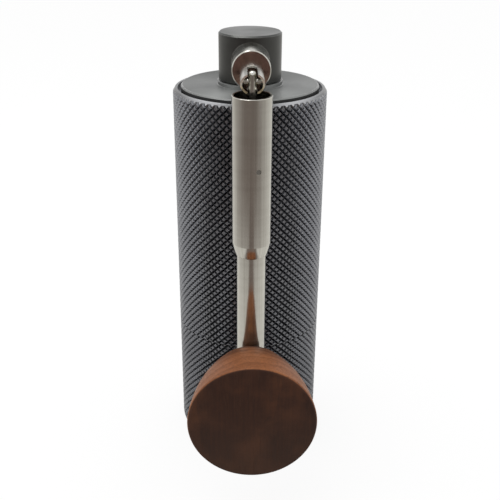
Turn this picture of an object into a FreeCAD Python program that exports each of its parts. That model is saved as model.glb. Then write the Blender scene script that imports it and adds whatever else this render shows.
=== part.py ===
"""Hand crank coffee grinder with a folding arm and a turned wooden knob.

Millimetres, +Z up. The origin is the centre of the base, the crank turns about Z, and the folded arm
hangs on the -Y side. Every piece is its own solid, written to parts/NODE.step.
"""
import FreeCAD
import Part
import math
import os

# Clearances
running_fit = 0.05
ball_fit = 0.03
rod_fit = 0.07
thread_fit = 0.15
lift_gap = 0.3

# Outer body and grounds bin
body_diameter = 52.0
body_length = 86.8
bin_length = 44.4
rim_wall = 1.8
rim_chamfer = 0.35
lid_recess_depth = 1.6
hopper_wall = 3.6
seam_chamfer = 0.25
base_chamfer = 0.8
bin_wall = 2.3
bin_floor = 3.0
spigot_length = 8.0
seal_height = 1.8
seal_depth = 0.9
seal_inset = 1.5

# Conical burr set
burr_seat_wall = 2.95
outer_burr_height = 18.0
outer_burr_inset = 2.0
outer_burr_wall = 1.6
burr_cone_angle = 14.0
burr_gap = 0.45
inner_burr_cutting_height = 10.0
inner_burr_feed_height = 10.0
inner_burr_top_diameter = 16.0
inner_burr_inset = 0.2
inner_flute_count = 7
outer_flute_count = 9
flute_width = 2.4
inner_flute_depth = 1.6
outer_flute_depth = 0.7
flute_slant = 24.0
burr_ledge_thickness = 5.6
burr_ledge_width = 4.1
burr_screw_count = 3
burr_screw_start = 30.0
burr_screw_diameter = 2.5
burr_screw_length = 11.6
burr_screw_head_diameter = 4.0
burr_screw_head_height = 2.0
burr_screw_key = 1.5

# Bearings and the frames that hold them
bearing_bore = 7.0
bearing_diameter = 19.0
bearing_width = 6.0
inner_race_wall = 1.7
outer_race_wall = 1.9
ball_diameter = 3.0
ball_count = 7
cage_wall = 0.9
cage_width = 3.8
carrier_ring_wall = 1.6
carrier_ring_height = 8.0
carrier_hub_wall = 2.0
carrier_bearing_rise = 4.5
carrier_lip = 1.2
carrier_lip_width = 1.1
spoke_count = 3
spoke_width = 4.0
spoke_height = 4.7
liner_length = 36.0
liner_wall = 1.0
snap_ring_thickness = 1.0
snap_ring_width = 1.7
snap_groove_depth = 0.6
snap_ring_gap = 4.0

# Drive shaft and what rides on it
shaft_collar_diameter = 9.0
shaft_flats = 5.8
shaft_thread_diameter = 5.6
shaft_tail = 1.4
hex_across_flats = 6.0
clip_thickness = 1.0
clip_groove_depth = 0.5
clip_width = 2.0
burr_travel = 1.0
burr_spring_diameter = 10.0
burr_spring_wire = 1.0
burr_spring_turns = 3
spring_washer_diameter = 12.4
spring_washer_thickness = 0.8

# Grind adjusting dial
click_plate_diameter = 18.0
click_plate_thickness = 1.6
click_dimple_count = 12
click_circle_diameter = 13.0
click_ball_diameter = 2.0
click_ball_count = 2
click_ball_rise = 0.25
click_spring_wire = 0.35
click_spring_length = 3.0
click_spring_turns = 4
dial_diameter = 26.0
dial_height = 8.0
dial_flute_count = 24
dial_flute_diameter = 1.6

# Lid
lid_side_gap = 0.9
lid_stand = 1.0
lid_chamfer = 0.4
lid_plug_gap = 0.5
lid_plug_wall = 2.4
lid_plug_depth = 4.0
lid_seal_height = 1.5
lid_seal_depth = 0.7
lid_seal_drop = 1.2
lid_boss_diameter = 21.8
lid_boss_height = 1.35
lid_bush_wall = 1.15

# Crank hub, collar and fork
hub_diameter = 21.0
hub_height = 15.6
hub_chamfer = 0.5
hub_spigot_diameter = 14.0
hub_spigot_depth = 10.3
hub_socket_depth = 14.9
head_clip_width = 2.7
crank_axis_rise = 7.5
collar_diameter = 12.3
collar_reach = 22.8
collar_root = 6.5
collar_chamfer = 0.3
collar_pin_diameter = 2.5
collar_pin_radius = 8.6
fork_diameter = 7.2
fork_wall = 0.6
fork_root = 12.0
fork_overhang = 3.7
fork_end_angle = 31.0
fork_slot = 3.0
fork_slot_reach = 3.3
hinge_pin_diameter = 1.6

# Folding arm
arm_reach = 37.5
tongue_diameter = 2.7
tongue_head_rise = 1.75
tongue_length = 44.9
tongue_tail_diameter = 2.0
button_height = 3.0
sleeve_diameter = 12.2
sleeve_bore_diameter = 11.0
sleeve_length = 46.8
sleeve_bore_depth = 23.9
fork_underside_gap = 0.35
mouth_chamfer = 0.15
shoulder_round = 4.0
shoulder_step = 0.4
shoulder_diameter = 10.2
rod_diameter = 9.35
spring_bore_diameter = 6.6
spring_bore_length = 40.5
guide_bush_height = 4.0
grub_screw_diameter = 1.6
grub_screw_length = 1.6
grub_screw_depth = 0.2
grub_screw_turn = 19.0
lock_spring_diameter = 4.8
lock_spring_wire = 0.7
lock_spring_turns = 8

# Arm end and knob
knob_drop = 98.8
paddle_width = 11.0
paddle_thickness = 6.0
paddle_straight = 5.0
washer_thickness = 2.0
washer_diameter = 10.4
axle_diameter = 6.0
axle_head_diameter = 10.4
axle_head_height = 3.0
axle_tail_diameter = 5.0
knob_length = 25.4
knob_diameter = 40.1
knob_back_diameter = 23.7
knob_middle_diameter = 35.4
knob_edge_round = 0.9
knob_back_round = 1.2
knob_bush_diameter = 12.0
knob_bush_length = 11.5
knob_bore_depth = 18.0

# Radii and heights worked out from the sizes above
body_radius = body_diameter / 2
rim_bore = body_radius - rim_wall
hopper_bore = body_radius - hopper_wall
bin_bore = body_radius - bin_wall
spigot_radius = bin_bore - thread_fit
seam_z = bin_length
rim_z = seam_z + body_length
lid_seat_z = rim_z - lid_recess_depth
spigot_z = seam_z - spigot_length
seal_z = spigot_z + seal_inset

burr_radius = spigot_radius - burr_seat_wall
burr_bore = burr_radius - outer_burr_wall
burr_slope = math.tan(math.radians(burr_cone_angle))
outer_burr_z = spigot_z + outer_burr_inset
burr_seat_z = outer_burr_z + outer_burr_height
carrier_seat_z = burr_seat_z + burr_ledge_thickness
throat_radius = burr_radius - burr_ledge_width
burr_screw_circle = (throat_radius + burr_radius) / 2
inner_burr_z = outer_burr_z + inner_burr_inset
inner_burr_height = inner_burr_cutting_height + inner_burr_feed_height
inner_burr_top_z = inner_burr_z + inner_burr_height
inner_burr_radius = burr_bore - inner_burr_inset * burr_slope - burr_gap

liner_z = carrier_seat_z + carrier_ring_height
upper_carrier_z = liner_z + liner_length
snap_z = upper_carrier_z + carrier_ring_height
snap_groove_radius = hopper_bore + snap_groove_depth
lower_bearing_z = carrier_seat_z + carrier_bearing_rise
upper_bearing_z = upper_carrier_z + carrier_bearing_rise
bearing_radius = bearing_diameter / 2
shaft_radius = bearing_bore / 2
inner_race_radius = shaft_radius + inner_race_wall
outer_race_radius = bearing_radius - outer_race_wall
ball_circle = (inner_race_radius + outer_race_radius) / 2

click_plate_z = inner_burr_z - click_plate_thickness
dial_top_z = click_plate_z - lift_gap
dial_z = dial_top_z - dial_height
dial_clip_z = dial_z - lift_gap - clip_thickness
shaft_z = dial_clip_z - shaft_tail
flats_z = dial_top_z + burr_travel + lift_gap
flats_top_z = inner_burr_top_z + burr_travel + lift_gap
thread_radius = shaft_thread_diameter / 2

lid_top_z = rim_z + lid_stand
lid_boss_z = lid_top_z + lid_boss_height
hub_z = lid_boss_z + lift_gap
hub_top_z = hub_z + hub_height
hub_radius = hub_diameter / 2
spigot_bottom_z = hub_z - hub_spigot_depth
hub_spigot_radius = hub_spigot_diameter / 2
socket_top_z = spigot_bottom_z + hub_socket_depth
lid_bush_radius = hub_spigot_radius + running_fit + lid_bush_wall
head_clip_z = lid_seat_z - lift_gap - clip_thickness
lid_seal_z = lid_seat_z - lid_seal_drop - lid_seal_height
lid_radius = rim_bore - lid_side_gap
lid_plug_radius = hopper_bore - lid_plug_gap

pivot_z = hub_z + crank_axis_rise
collar_radius = collar_diameter / 2
fork_radius = fork_diameter / 2
fork_bore = fork_radius - fork_wall
tongue_radius = tongue_diameter / 2
sleeve_radius = sleeve_diameter / 2
sleeve_bore = sleeve_bore_diameter / 2
grub_screw_inset = grub_screw_length + grub_screw_depth
mouth_z = pivot_z - fork_radius - fork_underside_gap
bush_z = mouth_z - sleeve_bore_depth
spring_bore = spring_bore_diameter / 2
button_z = pivot_z - tongue_length
rod_radius = rod_diameter / 2
shoulder_z = mouth_z - sleeve_length
rod_top_z = shoulder_z - shoulder_round - shoulder_step

knob_z = pivot_z - knob_drop
paddle_radius = paddle_width / 2
paddle_front = arm_reach + paddle_thickness / 2
knob_back = paddle_front + washer_thickness + lift_gap
knob_front = knob_back + knob_length
flat_top_z = knob_z + washer_diameter / 2 + lift_gap
axle_radius = axle_diameter / 2
axle_head_at = knob_back + knob_bush_length + lift_gap


def vector(x, y, z):
    """Return a point or direction."""
    return FreeCAD.Vector(x, y, z)


UP = vector(0, 0, 1)
FORWARD = vector(0, -1, 0)
ACROSS = vector(1, 0, 0)


def cylinder(radius, z0, z1, x=0.0, y=0.0):
    """Return an upright cylinder from z0 to z1."""
    return Part.makeCylinder(radius, z1 - z0, vector(x, y, z0), UP)


def ring(outer, inner, z0, z1, y=0.0):
    """Return an upright ring from z0 to z1."""
    return cylinder(outer, z0, z1, y=y).cut(cylinder(inner, z0, z1, y=y))


def rod_forward(radius, reach0, reach1, z):
    """Return a horizontal cylinder on the -Y side, from reach0 to reach1 off the crank axis."""
    return Part.makeCylinder(radius, reach1 - reach0, vector(0, -reach0, z), FORWARD)


def ring_forward(outer, inner, reach0, reach1, z):
    """Return a horizontal ring on the -Y side."""
    return rod_forward(outer, reach0, reach1, z).cut(rod_forward(inner, reach0, reach1, z))


def turned(profile, y=0.0):
    """Return the solid that a closed outline of (radius, z) points sweeps about an upright axis."""
    points = [vector(radius, y, z) for radius, z in profile]
    outline = Part.makePolygon(points + points[:1])
    return Part.Face(outline).revolve(vector(0, y, 0), UP, 360)


def turned_edges(edges, base, axis):
    """Return the solid that a closed set of edges sweeps about an axis."""
    return Part.Face(Part.Wire(edges)).revolve(base, axis, 360)


def line(start, end):
    """Return a straight edge."""
    return Part.makeLine(start, end)


def arc(start, middle, end):
    """Return a round edge through three points."""
    return Part.Arc(start, middle, end).toShape()


def hexagon(across_flats, z0, z1):
    """Return an upright hexagonal bar, with a flat towards -Y."""
    corner = across_flats / math.sqrt(3)
    angles = [math.radians(60 * step) for step in range(6)]
    points = [vector(corner * math.cos(a), corner * math.sin(a), z0) for a in angles]
    face = Part.Face(Part.makePolygon(points + points[:1]))
    return face.extrude(vector(0, 0, z1 - z0))


def flatted(radius, flats, z0, z1):
    """Return an upright bar with two flats facing -X and +X."""
    slab = Part.makeBox(flats, 4 * radius, z1 - z0, vector(-flats / 2, -2 * radius, z0))
    return cylinder(radius, z0, z1).common(slab)


def around(shape, count, start=0.0):
    """Return copies of a shape set evenly around the crank axis."""
    copies = []
    for index in range(count):
        copy = shape.copy()
        copy.rotate(vector(0, 0, 0), UP, start + 360.0 * index / count)
        copies.append(copy)
    return copies


def without(shape, tools):
    """Return a shape with a list of tools cut from it."""
    return shape.cut(Part.makeCompound(tools))


def joined(shapes):
    """Return one solid made of overlapping shapes."""
    result = shapes[0].multiFuse(shapes[1:])
    return result.removeSplitter()


def coil(diameter, wire, z0, z1, turns, x=0.0, y=0.0):
    """Return a coil spring whose ends lie at z0 and z1."""
    radius = diameter / 2
    height = z1 - z0 - wire
    path = Part.Wire(Part.makeLongHelix(height / turns, height, radius).Edges)
    start = Part.Wire(Part.makeCircle(wire / 2, vector(radius, 0, 0), vector(0, 1, 0)))
    shell = Part.BRepOffsetAPI.MakePipeShell(path)
    shell.setFrenetMode(True)
    shell.add(start)
    shell.build()
    shell.makeSolid()
    spring = shell.shape()
    spring.translate(vector(x, y, z0 + wire / 2))
    return spring


def make_bin():
    """Return the grounds bin, a cup that screws over the body's spigot."""
    return turned([
        (0, 0),
        (body_radius - base_chamfer, 0),
        (body_radius, base_chamfer),
        (body_radius, seam_z - seam_chamfer),
        (body_radius - seam_chamfer, seam_z),
        (bin_bore, seam_z),
        (bin_bore, bin_floor),
        (0, bin_floor),
    ])


def make_bin_seal():
    """Return the rubber ring in the spigot's groove."""
    inner = spigot_radius - seal_depth + running_fit
    return ring(bin_bore - running_fit, inner, seal_z + running_fit, seal_z + seal_height - running_fit)


def make_outer_body():
    """Return the body: hopper bore, burr ledge, lid recess, snap ring groove and threaded spigot."""
    seal_top = seal_z + seal_height
    groove = spigot_radius - seal_depth
    body = turned([
        (rim_bore, rim_z),
        (body_radius - rim_chamfer, rim_z),
        (body_radius, rim_z - rim_chamfer),
        (body_radius, seam_z + seam_chamfer),
        (body_radius - seam_chamfer, seam_z),
        (spigot_radius, seam_z),
        (spigot_radius, seal_top),
        (groove, seal_top),
        (groove, seal_z),
        (spigot_radius, seal_z),
        (spigot_radius, spigot_z),
        (burr_radius, spigot_z),
        (burr_radius, burr_seat_z),
        (throat_radius, burr_seat_z),
        (throat_radius, carrier_seat_z),
        (hopper_bore, carrier_seat_z),
        (hopper_bore, snap_z),
        (snap_groove_radius, snap_z),
        (snap_groove_radius, snap_z + snap_ring_thickness),
        (hopper_bore, snap_z + snap_ring_thickness),
        (hopper_bore, lid_seat_z),
        (rim_bore, lid_seat_z),
    ])
    hole = cylinder(burr_screw_diameter / 2 + thread_fit, burr_seat_z, carrier_seat_z, x=burr_screw_circle)
    return without(body, around(hole, burr_screw_count, burr_screw_start))


def flute(radius, depth, z0, z1):
    """Return a slanted cutter that makes one flute in a burr's cone, whose radius is given at z0."""
    height = z1 - z0
    cutter = Part.makeBox(2 * depth, flute_width, 3 * height, vector(-depth, -flute_width / 2, -1.5 * height))
    cutter.rotate(vector(0, 0, 0), ACROSS, flute_slant)
    cutter.rotate(vector(0, 0, 0), vector(0, 1, 0), -burr_cone_angle)
    cutter.translate(vector(radius - burr_slope * height / 2, 0, z0 + height / 2))
    return cutter


def make_outer_burr():
    """Return the fixed ring burr, fluted inside and tapped for its screws."""
    bottom = burr_bore
    top = bottom - outer_burr_height * burr_slope
    burr = turned([
        (bottom, outer_burr_z),
        (burr_radius, outer_burr_z),
        (burr_radius, burr_seat_z),
        (top, burr_seat_z),
    ])
    cutter = flute(bottom, outer_flute_depth, outer_burr_z, burr_seat_z)
    burr = without(burr, around(cutter, outer_flute_count))
    tip_z = carrier_seat_z - burr_screw_length
    hole = cylinder(burr_screw_diameter / 2, tip_z, burr_seat_z, x=burr_screw_circle)
    return without(burr, around(hole, burr_screw_count, burr_screw_start))


def make_burr_screws():
    """Return the socket screws that hold the ring burr to the ledge."""
    tip_z = carrier_seat_z - burr_screw_length
    head_top = carrier_seat_z + burr_screw_head_height
    shank = cylinder(burr_screw_diameter / 2, tip_z, carrier_seat_z)
    head = cylinder(burr_screw_head_diameter / 2, carrier_seat_z, head_top)
    key = hexagon(burr_screw_key, carrier_seat_z + burr_screw_head_height / 2, head_top)
    screw = joined([shank, head]).cut(key)
    screw.translate(vector(burr_screw_circle, 0, 0))
    return Part.makeCompound(around(screw, burr_screw_count, burr_screw_start))


def make_carrier(seat_z):
    """Return a bearing frame: a rim in the hopper bore, spokes, and a pocket for one bearing."""
    bearing_z = seat_z + carrier_bearing_rise
    hub_bottom = bearing_z - carrier_lip
    hub_outer = bearing_radius + carrier_hub_wall
    rim_inner = hopper_bore - carrier_ring_wall
    rim = ring(hopper_bore, rim_inner, seat_z, seat_z + carrier_ring_height)
    hub = ring(hub_outer, bearing_radius, bearing_z, bearing_z + bearing_width)
    lip = ring(hub_outer, bearing_radius - carrier_lip_width, hub_bottom, bearing_z)
    reach = rim_inner - hub_outer + 1.0
    corner = vector(hub_outer - 0.5, -spoke_width / 2, hub_bottom)
    spoke = Part.makeBox(reach, spoke_width, spoke_height, corner)
    return joined([rim, lip, hub] + around(spoke, spoke_count, 90.0))


def make_liner():
    """Return the hopper liner that spaces the two bearing frames."""
    return ring(hopper_bore, hopper_bore - liner_wall, liner_z, upper_carrier_z)


def make_snap_ring():
    """Return the split ring that keeps the upper bearing frame down."""
    inner = snap_groove_radius - snap_ring_width
    whole = ring(snap_groove_radius, inner, snap_z, snap_z + snap_ring_thickness)
    gap = Part.makeBox(
        snap_ring_gap, 2 * body_radius, 2 * snap_ring_thickness, vector(-snap_ring_gap / 2, 0, snap_z - 0.5)
    )
    return whole.cut(gap)


def ball_track(bearing_z):
    """Return the ring-shaped groove that the balls run in."""
    middle = vector(0, 0, bearing_z + bearing_width / 2)
    return Part.makeTorus(ball_circle, ball_diameter / 2 + ball_fit, middle, UP)


def make_outer_race(bearing_z):
    """Return a bearing's outer race."""
    race = ring(bearing_radius, outer_race_radius, bearing_z, bearing_z + bearing_width)
    return race.cut(ball_track(bearing_z))


def make_inner_race(bearing_z):
    """Return a bearing's inner race."""
    race = ring(inner_race_radius, shaft_radius, bearing_z, bearing_z + bearing_width)
    return race.cut(ball_track(bearing_z))


def make_balls(bearing_z):
    """Return a bearing's balls."""
    ball = Part.makeSphere(ball_diameter / 2, vector(ball_circle, 0, bearing_z + bearing_width / 2))
    return Part.makeCompound(around(ball, ball_count))


def make_cage(bearing_z):
    """Return the ring with pockets that spaces a bearing's balls."""
    middle_z = bearing_z + bearing_width / 2
    half = cage_width / 2
    band = ring(ball_circle + cage_wall / 2, ball_circle - cage_wall / 2, middle_z - half, middle_z + half)
    start = vector(ball_circle - cage_wall, 0, middle_z)
    pocket = Part.makeCylinder(ball_diameter / 2 + ball_fit, 2 * cage_wall, start, ACROSS)
    return without(band, around(pocket, ball_count))


def make_drive_shaft():
    """Return the shaft: threaded foot, flats for the burr, bearing seats and a hexagonal top."""
    upper_race_z = upper_bearing_z + bearing_width
    foot = cylinder(thread_radius, shaft_z, flats_z)
    flats = flatted(shaft_radius, shaft_flats, flats_z, flats_top_z)
    lower_seat = cylinder(shaft_radius, flats_top_z, lower_bearing_z + bearing_width)
    middle = cylinder(shaft_collar_diameter / 2, lower_bearing_z + bearing_width, upper_bearing_z)
    upper_seat = cylinder(shaft_radius, upper_bearing_z, spigot_bottom_z - lift_gap)
    top = hexagon(hex_across_flats, spigot_bottom_z - lift_gap, socket_top_z)
    shaft = joined([foot, flats, lower_seat, middle, upper_seat, top])
    upper_groove = ring(
        2 * shaft_radius, shaft_radius - clip_groove_depth, upper_race_z, upper_race_z + clip_thickness
    )
    foot_groove = ring(
        2 * thread_radius, thread_radius - clip_groove_depth, dial_clip_z, dial_clip_z + clip_thickness
    )
    return without(shaft, [upper_groove, foot_groove])


def make_clip(groove_radius, width, z0):
    """Return an open retaining clip that sits in a groove."""
    whole = ring(groove_radius + width, groove_radius, z0, z0 + clip_thickness)
    mouth = Part.makeBox(1.6 * groove_radius, 4 * groove_radius, clip_thickness)
    mouth.translate(vector(-0.8 * groove_radius, 0, z0))
    return whole.cut(mouth)


def make_spring_washer():
    """Return the washer between the lower inner race and the burr's spring."""
    bottom = lower_bearing_z - spring_washer_thickness
    return ring(spring_washer_diameter / 2, shaft_radius, bottom, lower_bearing_z)


def make_burr_spring():
    """Return the spring that pushes the inner burr down on its dial."""
    top = lower_bearing_z - spring_washer_thickness
    return coil(burr_spring_diameter, burr_spring_wire, inner_burr_top_z, top, burr_spring_turns)


def make_inner_burr():
    """Return the turning cone burr, fluted, with a bore that slides on the shaft's flats."""
    waist_z = inner_burr_z + inner_burr_cutting_height
    waist = inner_burr_radius - inner_burr_cutting_height * burr_slope
    burr = turned([
        (0, inner_burr_z),
        (inner_burr_radius, inner_burr_z),
        (waist, waist_z),
        (inner_burr_top_diameter / 2, inner_burr_top_z),
        (0, inner_burr_top_z),
    ])
    bore = flatted(
        shaft_radius + running_fit, shaft_flats + 2 * running_fit, inner_burr_z, inner_burr_top_z
    )
    cutter = flute(inner_burr_radius, inner_flute_depth, inner_burr_z, waist_z)
    return without(burr.cut(bore), around(cutter, inner_flute_count))


def make_click_plate():
    """Return the dimpled plate that the dial's balls click against."""
    plate = cylinder(click_plate_diameter / 2, click_plate_z, inner_burr_z)
    bore = flatted(shaft_radius + running_fit, shaft_flats + 2 * running_fit, click_plate_z, inner_burr_z)
    dimple_centre = vector(click_circle_diameter / 2, 0, click_plate_z - click_ball_diameter / 4)
    dimple = Part.makeSphere(click_ball_diameter / 2, dimple_centre)
    return without(plate.cut(bore), around(dimple, click_dimple_count))


def make_dial():
    """Return the fluted dial, with a threaded bore and pockets for the click balls."""
    dial = cylinder(dial_diameter / 2, dial_z, dial_top_z)
    bore = cylinder(thread_radius + running_fit, dial_z, dial_top_z)
    pocket_z = dial_top_z + click_ball_rise - click_ball_diameter - click_spring_length
    pocket = cylinder(click_ball_diameter / 2 + ball_fit, pocket_z, dial_top_z, x=click_circle_diameter / 2)
    groove = cylinder(dial_flute_diameter / 2, dial_z, dial_top_z, x=dial_diameter / 2)
    pockets = around(pocket, click_ball_count)
    grooves = around(groove, dial_flute_count)
    return without(dial, [bore] + pockets + grooves)


def make_click_balls():
    """Return the balls that stand out of the dial's top."""
    centre_z = dial_top_z + click_ball_rise - click_ball_diameter / 2
    ball = Part.makeSphere(click_ball_diameter / 2, vector(click_circle_diameter / 2, 0, centre_z))
    return Part.makeCompound(around(ball, click_ball_count))


def make_click_springs():
    """Return the small springs below the click balls."""
    top = dial_top_z + click_ball_rise - click_ball_diameter
    bottom = top - click_spring_length
    across = click_ball_diameter - click_spring_wire
    spring = coil(across, click_spring_wire, bottom, top, click_spring_turns, x=click_circle_diameter / 2)
    return Part.makeCompound(around(spring, click_ball_count))


def make_lid():
    """Return the lid: a disc in the body's recess, a plug below it and a boss under the hub."""
    plug_inner = lid_plug_radius - lid_plug_wall
    seal_groove = lid_plug_radius - lid_seal_depth
    seal_top = lid_seal_z + lid_seal_height
    plug_z = lid_seat_z - lid_plug_depth
    return turned([
        (lid_bush_radius, lid_boss_z),
        (lid_boss_diameter / 2, lid_boss_z),
        (lid_boss_diameter / 2, lid_top_z),
        (lid_radius - lid_chamfer, lid_top_z),
        (lid_radius, lid_top_z - lid_chamfer),
        (lid_radius, lid_seat_z),
        (lid_plug_radius, lid_seat_z),
        (lid_plug_radius, seal_top),
        (seal_groove, seal_top),
        (seal_groove, lid_seal_z),
        (lid_plug_radius, lid_seal_z),
        (lid_plug_radius, plug_z),
        (plug_inner, plug_z),
        (plug_inner, lid_seat_z),
        (lid_bush_radius, lid_seat_z),
    ])


def make_lid_bush():
    """Return the plain bush that the hub's spigot turns in."""
    return ring(lid_bush_radius, hub_spigot_radius + running_fit, lid_seat_z, lid_boss_z)


def make_lid_seal():
    """Return the rubber ring in the lid plug's groove."""
    inner = lid_plug_radius - lid_seal_depth
    return ring(hopper_bore - 2 * running_fit, inner, lid_seal_z, lid_seal_z + lid_seal_height)


def make_hub():
    """Return the crank hub: a drum with a spigot, a hexagonal socket and a bored side."""
    hub = turned([
        (0, spigot_bottom_z),
        (hub_spigot_radius, spigot_bottom_z),
        (hub_spigot_radius, hub_z),
        (hub_radius - hub_chamfer / 2, hub_z),
        (hub_radius, hub_z + hub_chamfer / 2),
        (hub_radius, hub_top_z - hub_chamfer),
        (hub_radius - hub_chamfer, hub_top_z),
        (0, hub_top_z),
    ])
    socket = hexagon(hex_across_flats + 2 * running_fit, spigot_bottom_z, socket_top_z)
    seat = rod_forward(collar_radius, collar_root, 2 * hub_radius, pivot_z)
    pin = cylinder(collar_pin_diameter / 2, hub_z, pivot_z, y=-collar_pin_radius)
    groove_radius = hub_spigot_radius - clip_groove_depth
    groove = ring(hub_radius, groove_radius, head_clip_z, head_clip_z + clip_thickness)
    return without(hub, [socket, seat, pin, groove])


def make_collar():
    """Return the steel collar set into the hub's side, bored for the fork."""
    collar = rod_forward(collar_radius, collar_root, collar_reach - collar_chamfer, pivot_z)
    rim = Part.makeCone(
        collar_radius,
        collar_radius - collar_chamfer,
        collar_chamfer,
        vector(0, -(collar_reach - collar_chamfer), pivot_z),
        FORWARD,
    )
    bore = rod_forward(fork_radius, fork_root, collar_reach, pivot_z)
    pin = cylinder(collar_pin_diameter / 2, hub_z, pivot_z, y=-collar_pin_radius)
    return without(joined([collar, rim]), [bore, pin])


def make_collar_pin():
    """Return the dowel that locks the collar in the hub from below."""
    return cylinder(collar_pin_diameter / 2, hub_z, pivot_z, y=-collar_pin_radius)


def make_fork():
    """Return the slotted tube that the arm folds on, with its slanting end."""
    reach = arm_reach + fork_overhang
    lead = fork_radius * math.tan(math.radians(fork_end_angle))
    tube = ring_forward(fork_radius, fork_bore, fork_root, reach + lead, pivot_z)
    size = 6 * fork_radius
    trim = Part.makeBox(size, size, size, vector(-size / 2, -reach - size, pivot_z - size / 2))
    trim.rotate(vector(0, -reach, pivot_z), ACROSS, fork_end_angle)
    slot_root = arm_reach - fork_slot_reach
    slot = Part.makeBox(fork_slot, size, size, vector(-fork_slot / 2, -slot_root - size, pivot_z - size / 2))
    slot_end = cylinder(fork_slot / 2, pivot_z - size / 2, pivot_z + size / 2, y=-slot_root)
    pin = Part.makeCylinder(hinge_pin_diameter / 2, size, vector(-size / 2, -arm_reach, pivot_z), ACROSS)
    return without(tube, [trim, slot, slot_end, pin])


def make_hinge_pin():
    """Return the cross pin in the fork's two prongs."""
    bar = Part.makeCylinder(
        hinge_pin_diameter / 2, fork_diameter, vector(-fork_radius, -arm_reach, pivot_z), ACROSS
    )
    return bar.common(rod_forward(fork_radius, fork_root, arm_reach + fork_radius, pivot_z))


def make_tongue():
    """Return the round-headed rod that hangs from the hinge pin."""
    head = Part.makeSphere(tongue_radius, vector(0, -arm_reach, pivot_z + tongue_head_rise))
    stem = cylinder(tongue_radius, button_z, pivot_z + tongue_head_rise, y=-arm_reach)
    tail = cylinder(tongue_tail_diameter / 2, button_z - button_height, button_z, y=-arm_reach)
    hole = Part.makeCylinder(
        hinge_pin_diameter / 2 + running_fit,
        2 * tongue_diameter,
        vector(-tongue_diameter, -arm_reach, pivot_z),
        ACROSS,
    )
    return joined([head, stem, tail]).cut(hole)


def make_button():
    """Return the round button on the tongue's tail that the lock spring stands on."""
    outer = spring_bore - 2 * running_fit
    return ring(outer, tongue_tail_diameter / 2, button_z - button_height, button_z, y=-arm_reach)


def make_lock_spring():
    """Return the spring that draws the arm against the fork."""
    return coil(lock_spring_diameter, lock_spring_wire, button_z, bush_z, lock_spring_turns, y=-arm_reach)


def grub_screw_bar(length, inset):
    """Return a cylinder across the sleeve wall, at the height and turn of the bush's screw."""
    height = bush_z + guide_bush_height / 2
    start = sleeve_radius - inset
    bar = Part.makeCylinder(grub_screw_diameter / 2, length, vector(0, -arm_reach - start, height), FORWARD)
    bar.rotate(vector(0, -arm_reach, 0), UP, grub_screw_turn)
    return bar


def flattening(side):
    """Return the cutter that flattens the rod's end, on the knob's side (-1) or the body's side (1)."""
    face = -arm_reach + side * paddle_thickness / 2
    away = side * rod_diameter
    corners = [
        vector(-rod_diameter, face, knob_z - rod_diameter),
        vector(-rod_diameter, face, flat_top_z),
        vector(-rod_diameter, face + away, flat_top_z + rod_diameter),
        vector(-rod_diameter, face + away, knob_z - rod_diameter),
    ]
    outline = Part.makePolygon(corners + corners[:1])
    return Part.Face(outline).extrude(vector(2 * rod_diameter, 0, 0))


def make_arm():
    """Return the arm: a hollow sleeve, a rounded shoulder, a rod and a flat end for the knob."""
    axis = vector(0, -arm_reach, 0)

    def at(radius, z):
        return vector(radius, -arm_reach, z)

    shoulder_radius = shoulder_diameter / 2
    waist_z = shoulder_z - shoulder_round
    bulge = at(sleeve_radius - 0.4 * (sleeve_radius - shoulder_radius), shoulder_z - 0.5 * shoulder_round)
    corners = [
        at(rod_radius, rod_top_z),
        at(rod_radius, knob_z),
        at(0, knob_z),
        at(0, mouth_z),
        at(sleeve_radius - mouth_chamfer, mouth_z),
        at(sleeve_radius, mouth_z - mouth_chamfer),
        at(sleeve_radius, shoulder_z),
    ]
    edges = [line(a, b) for a, b in zip(corners, corners[1:])]
    edges.append(arc(at(sleeve_radius, shoulder_z), bulge, at(shoulder_radius, waist_z)))
    edges.append(line(at(shoulder_radius, waist_z), at(rod_radius, rod_top_z)))
    bar = without(turned_edges(edges, axis, UP), [flattening(-1), flattening(1)])
    back = arm_reach - paddle_thickness / 2
    plate = Part.makeBox(
        paddle_width, paddle_thickness, paddle_straight, vector(-paddle_radius, -paddle_front, knob_z)
    )
    lower_end = rod_forward(paddle_radius, back, paddle_front, knob_z)
    upper_end = rod_forward(paddle_radius, back, paddle_front, knob_z + paddle_straight)
    arm = joined([bar, plate, lower_end, upper_end])
    mouth = cylinder(sleeve_bore, bush_z, mouth_z, y=-arm_reach)
    spring_hole = cylinder(spring_bore, bush_z - spring_bore_length, bush_z, y=-arm_reach)
    axle_hole = rod_forward(axle_tail_diameter / 2, back, paddle_front, knob_z)
    screw_hole = grub_screw_bar(sleeve_radius, grub_screw_inset)
    return without(arm, [mouth, spring_hole, axle_hole, screw_hole])


def make_guide_bush():
    """Return the bush in the sleeve that the tongue slides through."""
    bush = ring(sleeve_bore, tongue_radius + rod_fit, bush_z, bush_z + guide_bush_height, y=-arm_reach)
    return bush.cut(grub_screw_bar(sleeve_radius, grub_screw_inset))


def make_grub_screw():
    """Return the small screw that holds the guide bush in the sleeve."""
    return grub_screw_bar(grub_screw_length, grub_screw_inset)


def make_knob_axle():
    """Return the headed axle fixed in the arm's flat end."""
    tail = rod_forward(axle_tail_diameter / 2, arm_reach - paddle_thickness / 2, paddle_front, knob_z)
    shank = rod_forward(axle_radius, paddle_front, axle_head_at, knob_z)
    head = rod_forward(axle_head_diameter / 2, axle_head_at, axle_head_at + axle_head_height, knob_z)
    return joined([tail, shank, head])


def make_knob_washer():
    """Return the washer between the arm and the knob."""
    front = paddle_front + washer_thickness
    return ring_forward(washer_diameter / 2, axle_radius, paddle_front, front, knob_z)


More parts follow.
